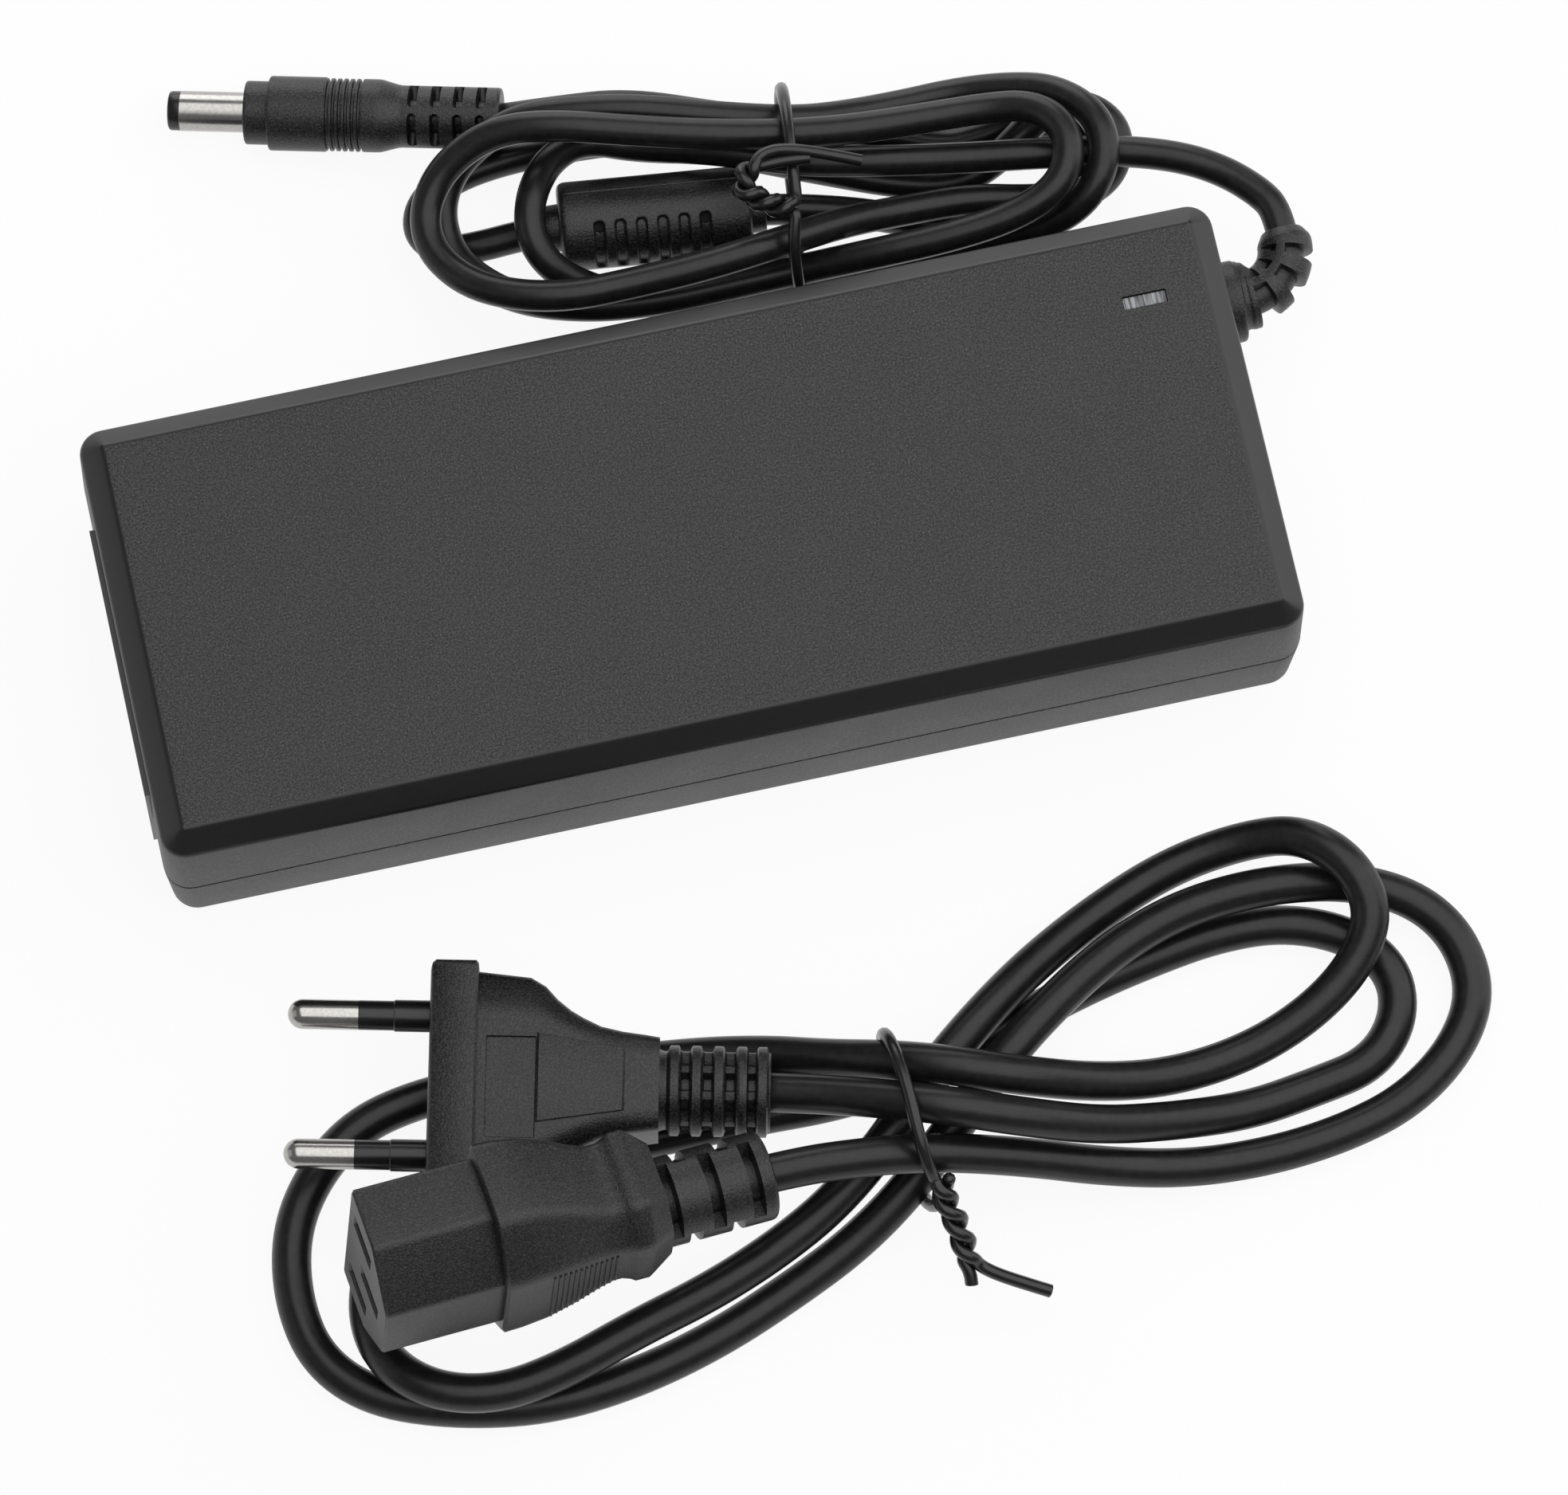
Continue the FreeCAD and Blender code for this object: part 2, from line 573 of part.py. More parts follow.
def outline_pad(name, points, length, role="YZ_Plane", z="0"):
    """A straight-edged outline, each corner held from the origin, made solid along the plane's normal."""
    body = doc.addObject("PartDesign::Body", name)
    sketch = flat_sketch(body, name + "_outline", role, z)
    count = len(points)
    for corner in range(count):
        angle, after = 2 * math.pi * corner / count, 2 * math.pi * (corner + 1) / count
        start = Vector(math.cos(angle), math.sin(angle), 0)
        end = Vector(math.cos(after), math.sin(after), 0)
        sketch.addGeometry(Part.LineSegment(start, end))
    for corner, (across, up) in enumerate(points):
        sketch.addConstraint(Sketcher.Constraint("Coincident", corner - 1 if corner else count - 1, 2, corner, 1))
        measure(sketch, "DistanceX", (-1, 1), (corner, 1), across)
        measure(sketch, "DistanceY", (-1, 1), (corner, 1), up)
    pad = body.newObject("PartDesign::Pad", name + "_pad")
    pad.Profile = sketch
    bind(pad, Length=length)
    doc.recompute()
    return body


def corner_arc(points, index):
    """The arc at a corner of a route: its two ends, its middle and its radius."""
    before, at, after = (Vector(*points[k]) for k in (index - 1, index, index + 1))
    back, ahead = before - at, after - at
    turn = math.pi - back.getAngle(ahead)
    reach = 0.45 * min(back.Length, ahead.Length)
    radius = reach / math.tan(turn / 2)
    back.normalize()
    ahead.normalize()
    inward = (back + ahead).normalize()
    middle = at + inward * (radius / math.cos(turn / 2) - radius)
    return at + back * reach, middle, at + ahead * reach, radius


def route_wire(points, first, last, lead_in=()):
    """Straight runs and tangent arcs through some corners of a route, cut at the middle of a run."""
    edges = list(lead_in)
    if edges:
        place = edges[-1].Vertexes[-1].Point
    elif first == 1:
        place = Vector(*points[0])
    else:
        place = (Vector(*points[first - 1]) + Vector(*points[first])) * 0.5
    radii = []
    for index in range(first, last + 1):
        start, middle, end, radius = corner_arc(points, index)
        edges.append(Part.LineSegment(place, start).toShape())
        edges.append(Part.Arc(start, middle, end).toShape())
        radii.append(radius)
        place = end
    if last == len(points) - 2:
        finish = Vector(*points[-1])
    else:
        finish = (Vector(*points[last]) + Vector(*points[last + 1])) * 0.5
    edges.append(Part.LineSegment(place, finish).toShape())
    return Part.Wire(edges), radii


def tube(name, wire, diameter):
    """A round tube along a wire, whose volume is compared with its section times its length."""
    first = wire.Edges[0]
    start = first.valueAt(first.FirstParameter)
    heading = first.tangentAt(first.FirstParameter)
    ring = Part.Wire([Part.Circle(start, heading, diameter / 2).toShape()])
    solid = wire.makePipeShell([ring], True, False)
    if solid.Volume < 0:
        solid.reverse()
    expected = math.pi * diameter ** 2 / 4 * wire.Length
    print(f"{name}: length {wire.Length:.1f} mm, volume {solid.Volume / expected:.4f} of section times length")
    feature = doc.addObject("Part::Feature", name)
    feature.Shape = solid
    return feature


def least_gap(wire, diameter, apart=20.0):
    """The least space between two stretches of a cord that are further apart along it than a short way."""
    step = 1.0
    points = wire.discretize(Distance=step)
    skip = int(apart / step)
    cells = {}
    least = 10.0
    for index, point in enumerate(points):
        cell = tuple(int(math.floor(value / 8)) for value in point)
        for dx in (-1, 0, 1):
            for dy in (-1, 0, 1):
                for dz in (-1, 0, 1):
                    for other in cells.get((cell[0] + dx, cell[1] + dy, cell[2] + dz), ()):
                        if index - other > skip:
                            least = min(least, (point - points[other]).Length - diameter)
        cells.setdefault(cell, []).append(index)
    return least


def report_route(name, wire, radii, diameter):
    print(f"{name}: {wire.Length:.1f} mm long, least radius {min(radii):.1f}, least gap to itself "
          f"{least_gap(wire, diameter):.2f}, radii " + " ".join(f"{radius:.0f}" for radius in radii))


def slotted_relief(name, start, end, radius, end_radius, core, slots, slot_width, spine):
    """A strain relief along x whose ring slots stop at a core and leave a spine above and below."""
    body = cone(name + "_body", radius, end_radius, f"({end}) - ({start})", x=start)
    tools = []
    for count, place in enumerate(slots):
        disc = rod(f"{name}_slot_{count}", f"2 * ({radius})", slot_width, x=f"({place}) - ({slot_width}) / 2",
                   axis="x")
        middle = rod(f"{name}_keep_{count}", core, f"2 * ({slot_width})", x=f"({place}) - ({slot_width})", axis="x")
        rib = block(f"{name}_spine_{count}", f"2 * ({slot_width})", spine, f"4 * ({radius})",
                    x=place, z=f"-2 * ({radius})")
        tools.append(cut(f"{name}_ring_{count}", disc, middle, rib))
    return cut(name + "_slotted", body, *tools)


def wound_core(kind, place, length, width, tall, leg, side, plate, bobbin):
    """A core with a round middle leg, and its winding, on a bobbin where it has one."""
    x, y = place
    z = "board_top"
    window = f"({tall}) - 2 * {plate}"
    base = f"{z} + {plate}"
    room = block(kind + "_room", f"{length} - 2 * {side}", f"{width} + 2", window, x, y, base)
    leg_solid = rod(kind + "_leg", leg, window, x, y, base)
    core = join(kind + "_core_whole",
                cut(kind + "_frame", block(kind + "_blank", length, width, tall, x, y, z), room),
                leg_solid)
    reach = f"({length}) / 2 - {side} - winding_gap"
    bore = f"{leg} + winding_gap"
    if not bobbin:
        ring = rod(kind + "_turns", reach, f"{window} - 2 * winding_gap", x, y, f"{base} + winding_gap")
        hole = rod(kind + "_turns_bore", bore, window, x, y, base)
        return core, None, cut(kind + "_winding_ring", ring, hole)
    spool = rod(kind + "_spool", reach, f"{window} - 2 * winding_gap", x, y, f"{base} + winding_gap")
    waist_base = f"{base} + winding_gap + bobbin_wall"
    waist_tall = f"{window} - 2 * winding_gap - 2 * bobbin_wall"
    waist = cut(kind + "_waist", rod(kind + "_waist_out", f"{reach} + 1", waist_tall, x, y, waist_base),
                rod(kind + "_waist_in", f"{bore} + bobbin_wall", waist_tall, x, y, waist_base))
    spool_bore = rod(kind + "_spool_bore", bore, window, x, y, base)
    turns = cut(kind + "_winding_ring", rod(kind + "_turns", f"{reach} - winding_sink", waist_tall, x, y, waist_base),
                rod(kind + "_turns_bore", f"{bore} + bobbin_wall", waist_tall, x, y, waist_base))
    return core, cut(kind + "_bobbin_whole", spool, waist, spool_bore), turns


def leads(kind, x, y, step, tall, along="y"):
    """Two round leads that reach down to the board."""
    sides = ((("0", f"-({step}) / 2"), ("0", f"({step}) / 2")) if along == "y"
             else ((f"-({step}) / 2", "0"), (f"({step}) / 2", "0")))
    return [rod(f"{kind}_lead_{count}", "lead / 2", tall, f"{x} + {dx}", f"{y} + {dy}", "board_top")
            for count, (dx, dy) in enumerate(sides)]


def package(kind, x, y, facing):
    """A flat power package on its tab, with its back against a heat sink."""
    base = "board_top + package_lift"
    body = block(kind + "_body", "package_width", "package_thickness",
                 "package_tall - package_tab + package_tab_overlap", x, y, base)
    tab = block(kind + "_tab", "package_width", "package_tab_thickness", "package_tab", x,
                f"{y} {facing} (package_thickness - package_tab_thickness) / 2",
                f"{base} + package_tall - package_tab")
    legs = [block(f"{kind}_leg_{count}", "lead", "lead", "package_lift + package_tab_overlap",
                  f"{x} + {count - 1} * package_pitch", y, "board_top") for count in range(3)]
    return join(kind + "_whole", body, tab, *legs)


def make_case():
    """The two shells, their lap joint, the window, the cord's hole and the inlet's hole."""
    step_length = "case_length - 2 * shell_step"
    step_width = "case_width - 2 * shell_step"
    top_length = "case_length - 2 * upper_draft"
    top_width = "case_width - 2 * upper_draft"
    upper = shell("upper_shell", [
        ("case_length", "case_width", "corner_radius", "parting_height"),
        (top_length, top_width, "corner_radius - upper_draft", "case_height - rim_height"),
        (f"{top_length} - 2 * rim_width", f"{top_width} - 2 * rim_width", "rim_corner", "case_height"),
    ], [
        ("case_length - 2 * wall", "case_width - 2 * wall", "inner_corner", "parting_height"),
        (f"{top_length} - 2 * wall", f"{top_width} - 2 * wall", "inner_corner", "roof_under - roof_slope"),
        (f"{top_length} - 2 * wall - 2 * roof_inset", f"{top_width} - 2 * wall - 2 * roof_inset",
         "inner_corner", "roof_under"),
    ])
    rebate = shell("rebate", [
        ("case_length - 2 * (wall - lip_thickness - fit_gap)", "case_width - 2 * (wall - lip_thickness - fit_gap)",
         "inner_corner + lip_thickness + fit_gap", level)
        for level in ("parting_height", "parting_height + lip_height + fit_gap")])
    lower = shell("lower_shell", [
        (f"{step_length} - 2 * lower_draft - 2 * foot_round", f"{step_width} - 2 * lower_draft - 2 * foot_round",
         "corner_radius - foot_round", "0"),
        (f"{step_length} - 2 * lower_draft", f"{step_width} - 2 * lower_draft", "corner_radius", "foot_round"),
        (step_length, step_width, "corner_radius", "parting_height"),
    ])
    lip = shell("lip", [
        ("case_length - 2 * (wall - lip_thickness)", "case_width - 2 * (wall - lip_thickness)",
         "inner_corner + lip_thickness", level)
        for level in ("parting_height - wall", "parting_height + lip_height")])
    hollow = shell("hollow", [
        (f"{step_length} - 2 * lower_draft - 2 * wall", f"{step_width} - 2 * lower_draft - 2 * wall",
         "inner_corner", "floor_thickness"),
        ("case_length - 2 * wall", "case_width - 2 * wall", "inner_corner", "parting_height + lip_height"),
    ])
    window = block("window_hole", "window_length", "window_width", "2 * roof_thickness",
                   "window_place", "window_side", "case_height - 1.5 * roof_thickness")
    cord_hole = rod("cord_hole", "neck_radius + fit_gap", "4 * wall", "case_end - 3 * wall", "gland_side",
                    "gland_height", "x")
    bezel_hole = block("bezel_hole", "2 * bezel_thickness + 2 * inlet_proud",
                       "bezel_width + 2 * fit_gap", "bezel_tall + 2 * fit_gap",
                       "-case_end", "inlet_side", "inlet_height - bezel_tall / 2 - fit_gap")
    node("upper_cover", cut("upper_cover", upper, rebate, window, cord_hole, bezel_hole))
    posts = [rod(f"post_{count}", "post_radius", "post_height + post_root", f"{edge} {way} post_end_inset", side,
                 "floor_thickness - post_root")
             for count, (edge, way, side) in enumerate((
                 ("board_start", "+", "post_side"), ("board_start", "+", "-post_side"),
                 ("board_end", "-", "post_side"), ("board_end", "-", "-post_side")))]
    tray = cut("tray", join("tray_blank", lower, lip), hollow)
    carved = cut("tray_carved", tray, cord_hole, bezel_hole)
    node("lower_cover", join("lower_cover", carved, *posts))
    guide = block("led_window", "window_length - 2 * fit_gap", "window_width - 2 * fit_gap",
                  "window_depth", "window_place", "window_side", "case_height - window_recess - window_depth")
    node("led_window", guide)


def blade_spots():
    """Where the three blades stand: y from the middle and z from the middle."""
    return (("-pin_spacing / 2", "-line_row"), ("pin_spacing / 2", "-line_row"), ("0", "earth_row"))


def cut_corner_outline(grow):
    """The connector's nose seen from its face: a rectangle with the two corners on the earth side cut off."""
    wide = f"(nose_width / 2 + {grow})"
    tall = f"(nose_tall / 2 + {grow})"
    return [(f"-{wide}", f"-{tall}"), (wide, f"-{tall}"), (wide, f"{tall} - nose_cut_tall"),
            (f"{wide} - nose_cut_wide", tall), (f"-{wide} + nose_cut_wide", tall),
            (f"-{wide}", f"{tall} - nose_cut_tall")]


def make_inlet():
    """The recessed mains inlet in the brick's end and its three blades."""
    bezel = block("bezel", "bezel_thickness", "bezel_width", "bezel_tall", "inlet_face + bezel_thickness / 2",
                  "inlet_side", "inlet_height - bezel_tall / 2")
    housing = block("inlet_housing", "inlet_depth", "inlet_width", "inlet_tall", "inlet_face + inlet_depth / 2",
                    "inlet_side", "inlet_height - inlet_tall / 2")
    socket = outline_pad("socket", cut_corner_outline("socket_gap"), "socket_depth + 1")
    put(socket, "inlet_face - 1", "inlet_side", "inlet_height")
    blades = []
    holes = []
    for count, (side, row) in enumerate(blade_spots()):
        y = f"inlet_side + {side}"
        z = f"inlet_height + {row} - blade_tall / 2"
        start = "inlet_face + socket_depth - blade_length"
        length = f"(inlet_back + blade_tail) - ({start})"
        blades.append(block(f"blade_{count}", length, "blade_thickness", "blade_tall",
                            f"{start} + ({length}) / 2", y, z))
        holes.append(block(f"blade_hole_{count}", length, "blade_thickness", "blade_tall",
                           f"{start} + ({length}) / 2", y, z))
    node("inlet_body", cut("inlet_body", join("inlet_blank", bezel, housing), socket, *holes))
    node("inlet_pins", group("inlet_pins", *blades))


def make_board():
    """The board with its heat spreaders and insulation."""
    board = block("board_blank", "board_length", "board_width", "board_thickness", "board_middle", "0", "board_under")
    node("circuit_board", board)
    sheet_length = "board_length - 2 * sheet_end_margin"
    node("lower_heat_spreader", block("lower_heat_spreader", sheet_length, "sheet_width", "lower_sheet",
                                      "board_middle", "0", "floor_thickness"))
    node("insulation_sheet", block("insulation_sheet", sheet_length, "sheet_width", "insulation",
                                   "board_middle", "0", "floor_thickness + lower_sheet"))
    gap_to_lamp = "(window_length / 2 + lamp_room)"
    node("upper_heat_spreader", block("upper_heat_spreader", f"window_place - {gap_to_lamp} - board_start",
                                      "case_width - upper_sheet_margin", "upper_sheet",
                                      f"(window_place - {gap_to_lamp} + board_start) / 2", "0",
                                      "roof_under - upper_sheet"))


def make_input_side():
    """Fuse, varistor, filter, rectifier, boost inductor and bulk capacitor."""
    x, y = PLACES["fuse"]
    tube_z = "board_top + fuse_radius + stand_off"
    barrel = rod("fuse_barrel", "fuse_radius", "fuse_length", x, f"{y} - fuse_length / 2", tube_z, "y")
    node("fuse", join("fuse", barrel, *leads("fuse", x, y, "fuse_length - 2 * fuse_lead_inset",
                                                "fuse_radius + stand_off")))
    x, y = PLACES["surge_varistor"]
    disc = rod("varistor_disc", "varistor_radius", "varistor_thickness", f"{x} - varistor_thickness / 2", y,
               "board_top + varistor_radius + stand_off", "x")
    node("surge_varistor", join("surge_varistor", disc, *leads("varistor", x, y, "varistor_leads",
                                                              "varistor_radius + stand_off")))
    x, y = PLACES["x_capacitor"]
    node("x_capacitor", block("x_capacitor", "xcap_width", "xcap_length", "xcap_tall", x, y, "board_top"))
    x, y = PLACES["common_mode"]
    core = put(bind(doc.addObject("Part::Torus", "toroid"), Radius1="toroid_ring", Radius2="toroid_section"),
               x, y, "board_top + toroid_winding")
    node("common_mode_core", core)
    sectors = []
    for count, turn in enumerate((-1, 1)):
        sector = bind(doc.addObject("Part::Torus", f"turns_{count}"), Radius1="toroid_ring",
                      Radius2="toroid_winding", Angle3="toroid_turns_angle")
        sector.Placement = Placement(Vector(), Rotation(Vector(0, 0, 1), 90 * turn - size("toroid_turns_angle") / 2))
        put(sector, x, y, "board_top + toroid_winding")
        sectors.append(cut(f"turns_ring_{count}", sector, core))
    node("common_mode_winding", group("common_mode_winding", *sectors))
    x, y = PLACES["bridge_rectifier"]
    slab = block("bridge_slab", "bridge_length", "bridge_width", "bridge_tall - bridge_lift", x, y,
                 "board_top + bridge_lift")
    legs = [rod(f"bridge_leg_{count}", "lead / 2", "bridge_lift + lead", f"{x} + {count - 1.5} * bridge_pitch", y,
                "board_top")
            for count in range(4)]
    node("bridge_rectifier", join("bridge_rectifier", slab, *legs))
    core, _, turns = wound_core("boost", PLACES["boost"], "boost_length", "boost_width", "boost_tall",
                                "boost_leg", "boost_side", "boost_plate", False)
    node("boost_core", core)
    node("boost_winding", turns)
    x, y = PLACES["bulk_capacitor"]
    can = rod("bulk_can", "bulk_radius", "bulk_length", f"{x} - bulk_length / 2", y, "board_top + bulk_radius", "x")
    crimp_place = f"{x} + bulk_length / 2 - bulk_crimp"
    axis_height = "board_top + bulk_radius"
    crimp = cut("bulk_crimp", rod("bulk_crimp_out", "bulk_radius + bulk_crimp_width", "bulk_crimp_width",
                                  crimp_place, y, axis_height, "x"),
                rod("bulk_crimp_in", "bulk_radius - bulk_crimp_depth", "bulk_crimp_width",
                    crimp_place, y, axis_height, "x"))
    node("bulk_capacitor", cut("bulk_capacitor", can, crimp))


def make_power_stage():
    """Heat sinks with their power packages, the transformer and the small control parts."""
    fin_side = "(board_width / 2 - fin_inset - fin_thickness / 2)"
    back = "(fin_thickness / 2 + package_thickness / 2)"
    x, _ = PLACES["primary_side"]
    node("primary_heatsink", block("primary_heatsink", "primary_fin", "fin_thickness", "fin_tall",
                                   x, f"-{fin_side}", "board_top"))
    node("switching_transistor", package("transistor", x, f"-{fin_side} + {back}", "-"))
    x, _ = PLACES["secondary_side"]
    node("secondary_heatsink", block("secondary_heatsink", "secondary_fin", "fin_thickness", "fin_tall",
                                     x, fin_side, "board_top"))
    node("output_rectifier", package("rectifier", x, f"{fin_side} - {back}", "+"))
    core, bobbin, turns = wound_core("transformer", PLACES["transformer"], "trafo_length", "trafo_width",
                                     "trafo_tall", "trafo_leg", "trafo_side", "trafo_plate", True)
    node("transformer_core", core)
    node("transformer_bobbin", bobbin)
    node("transformer_winding", turns)
    x, y = PLACES["y_capacitor"]
    disc = rod("y_disc", "disc_radius", "disc_thickness", f"{x} - disc_thickness / 2", y,
               "board_top + disc_radius + stand_off", "x")
    node("y_capacitor", join("y_capacitor", disc, *leads("y", x, y, "disc_leads", "disc_radius + stand_off")))
    x, y = PLACES["optocoupler"]
    node("optocoupler", block("optocoupler", "opto_length", "opto_width", "opto_tall", x, y, "board_top"))
    x, y = PLACES["control_chip"]
    node("control_chip", block("control_chip", "chip_length", "chip_width", "chip_tall", x, y, "board_top"))


def make_output_side():
    """Output capacitors, choke, lamp and the wires at both ends."""
    x, y = PLACES["output_capacitors"]
    cans = [rod(f"output_can_{count}", "outcap_radius", "outcap_tall", x, f"{y} {way} outcap_spacing / 2",
                "board_top")
            for count, way in enumerate("-+")]
    node("output_capacitors", group("output_capacitors", *cans))
    x, y = PLACES["output_choke"]
    height = "board_top + rod_winding"
    core = rod("rod_whole", "rod_core", "rod_length", x, f"{y} - rod_length / 2", height, "y")
    turns = rod("rod_turns", "rod_winding", "rod_length - 2 * rod_end", x,
                f"{y} - rod_length / 2 + rod_end", height, "y")
    node("output_choke", join("output_choke", core, turns))
    stem = block("lamp_stem", "lamp_stem", "lamp_stem / 2", "lamp_tall - lamp_radius - lamp_flange", "window_place",
                 "window_side", "board_top")
    flange = rod("lamp_flange", "lamp_radius + lamp_rim", "lamp_flange", "window_place", "window_side",
                 "board_top + lamp_tall - lamp_radius - 1.5 * lamp_flange")
    dome = put(bind(doc.addObject("Part::Sphere", "lamp_dome"), Radius="lamp_radius"),
               "window_place", "window_side", "board_top + lamp_tall - lamp_radius")
    node("led_lamp", join("led_lamp", stem, flange, dome))
    wire_radius = size("wire") / 2
    run = size("wire_run")
    top = size("floor_thickness") + size("post_height") + size("board_thickness")
    reach = size("case_length") / 2
    tail = -reach - size("inlet_proud") + size("inlet_depth") + size("blade_tail")
    supply = []
    for count, (side, row) in enumerate(((-1, -size("line_row")), (1, -size("line_row")), (0, size("earth_row")))):
        y = size("inlet_side") + side * size("pin_spacing") / 2
        z = size("inlet_height") + row
        points = [(tail, y, z), (tail + run, y, z), (tail + run, y, top)]
        wire, _ = route_wire(points, 1, 1)
        supply.append(tube(f"supply_wire_{count}", wire, 2 * wire_radius))
    node("inlet_wires", group("inlet_wires", *supply))
    end = reach - size("dc_tail_inside") - size("wall")
    output = []
    for count, way in enumerate((-1, 1)):
        y = size("gland_side") + way * (wire_radius + size("wire_gap"))
        z = size("gland_height")
        points = [(end, y, z), (end - run, y, z), (end - run, y, top)]
        wire, _ = route_wire(points, 1, 1)
        output.append(tube(f"output_wire_{count}", wire, 2 * wire_radius))
    node("output_wires", group("output_wires", *output))


def cord_bend():
    """The straight and quarter turn that the DC cord makes inside its bend relief."""
    side, height, radius = size("gland_side"), size("gland_height"), size("bend_radius")
    inside = size("case_length") / 2 - size("dc_tail_inside") - size("wall")
    start = size("case_length") / 2 + size("flange_thickness") + size("neck_length")
    diagonal = radius * math.sqrt(0.5)
    line = Part.LineSegment(Vector(inside, side, height), Vector(start, side, height))
    arc = Part.Arc(Vector(start, side, height), Vector(start + diagonal, side + radius - diagonal, height),
                   Vector(start + radius, side + radius, height))
    return [line.toShape(), arc.toShape()]


def make_bend_relief():
    """The flanged, ribbed boot that turns the cord from the brick's end to its back."""
    x, y, z = "bend_start", "gland_side", "gland_height"
    flange = rod("boot_flange", "flange_radius", "flange_thickness", "case_end", y, z, "x")
    stop_start = "case_end - wall - upper_draft - flange_thickness"
    neck = rod("boot_neck", "neck_radius", f"bend_start - ({stop_start})", stop_start, y, z, "x")
    stop = rod("boot_stop", "flange_radius", "flange_thickness", stop_start, y, z, "x")

    def sector(name, radius, start, angle):
        piece = bind(doc.addObject("Part::Torus", name), Radius1="bend_radius", Radius2=radius, Angle3=f"{angle}")
        piece.Placement = Placement(Vector(), Rotation(Vector(0, 0, 1), start - 90))
        return put(piece, x, f"{y} + bend_radius", z)

    bend = sector("boot_bend", "neck_radius", 0, 90)
    tip = rod("boot_tip", "neck_radius", "boot_tip", f"{x} + bend_radius", f"{y} + bend_radius", z, "y")
    slots = []
    for count, start in enumerate((12, 37, 62)):
        ring = sector(f"boot_ring_{count}", "neck_radius + 0.5", start, 13)
        core = sector(f"boot_core_{count}", "boot_core", start, 13)
        outer = rod(f"boot_spine_out_{count}", "bend_radius + spine_width / 2", "4 * neck_radius",
                    x, f"{y} + bend_radius", f"{z} - 2 * neck_radius")
        inner = rod(f"boot_spine_in_{count}", "bend_radius - spine_width / 2", "4 * neck_radius",
                    x, f"{y} + bend_radius", f"{z} - 2 * neck_radius")
        spine = cut(f"boot_spine_{count}", outer, inner)
        slots.append(cut(f"boot_slot_{count}", ring, core, spine))
    boot = cut("boot_ribbed", join("boot_whole", flange, neck, stop, bend, tip), *slots)
    bore_bend = sector("boot_bore_bend", "dc_cord / 2", 0, 90)
    bore_in = rod("boot_bore_in", "dc_cord / 2", "bend_start - case_end + 4 * wall", "case_end - 4 * wall", y, z, "x")
    bore_out = rod("boot_bore_out", "dc_cord / 2", "2 * boot_tip", f"{x} + bend_radius", f"{y} + bend_radius", z, "y")
    node("dc_bend_relief", cut("dc_bend_relief", boot, bore_bend, bore_in, bore_out))


def seated(route, inner):
    """The route with its last point moved into the plug that it enters."""
    end = Vector(*route[-1])
    into = (Vector(*inner) - end).normalize() * size("cord_seat")
    return route + [tuple(end + into)]


def make_dc_cord():
    """The DC cord: its tail at the brick, its loose loops and its end at the plug."""
    diameter = size("dc_cord")
    route = seated(DC_ROUTE, DC_PLUG_TIP)
    last = len(route) - 2
    whole, radii = route_wire(route, 1, last, cord_bend())
    report_route("dc cord", whole, radii, diameter)
    tail, _ = route_wire(route, 1, len(DC_TAIL) - 1, cord_bend())
    node("dc_cord_tail", tube("dc_cord_tail", tail, diameter))
    hank, _ = route_wire(route, len(DC_TAIL), CHOKE_OUT - 1)
    node("dc_cord_hank", tube("dc_cord_hank", hank, diameter))
    end, _ = route_wire(route, CHOKE_OUT, last)
    node("dc_cord_plug_end", tube("dc_cord_plug_end", end, diameter))
    tie, radii = route_wire(DC_TIE, 1, len(DC_TIE) - 2)
    report_route("dc cord tie", tie, radii, size("tie_wire"))
    node("dc_cord_tie", tube("dc_cord_tie", tie, size("tie_wire")))


def make_choke():
    """The ferrite core and its moulded housing, along x from the housing's middle."""
    pose = lying(DC_HANK[-1], DC_PLUG_END[0])
    length = (Vector(*DC_PLUG_END[0]) - Vector(*DC_HANK[-1])).Length
    core = cut("ferrite_core", rod("ferrite_rod", "ferrite_radius", "ferrite_length",
                                   f"({length} - ferrite_length) / 2", axis="x"),
               rod("ferrite_hole", "ferrite_bore / 2", "ferrite_length",
                   f"({length} - ferrite_length) / 2", axis="x"))
    room = rod("ferrite_room", "ferrite_radius", "ferrite_length", f"({length} - ferrite_length) / 2", axis="x")
    housing = rod("choke_shell", "choke_radius", f"{length}", axis="x")
    boots = [rod(f"choke_boot_{count}", "choke_boot", "choke_boot_length", start, axis="x")
             for count, start in enumerate(("-choke_boot_length", f"{length}"))]
    grips = []
    for count in range(6):
        place = f"{length} / 2 + {count - 2.5} * grip_slot_pitch - grip_slot / 2"
        ring = cut(f"choke_grip_ring_{count}", rod(f"choke_grip_out_{count}", "choke_radius + 1", "grip_slot",
                                                   place, axis="x"),
                   rod(f"choke_grip_in_{count}", "choke_radius - grip_slot_depth", "grip_slot", place, axis="x"))
        keep = block(f"choke_grip_keep_{count}", f"{length}", "4 * choke_radius", "choke_radius",
                     f"{length} / 2", "0", "-choke_radius / 2")
        grips.append(cut(f"choke_grip_{count}", ring, keep))
    bore = rod("choke_bore", "dc_cord / 2", f"{length} + 4 * choke_boot_length", "-2 * choke_boot_length", axis="x")
    node("choke_housing", cut("choke_housing", join("choke_blank", housing, *boots), room, bore, *grips), pose)
    node("ferrite_core", core, pose)


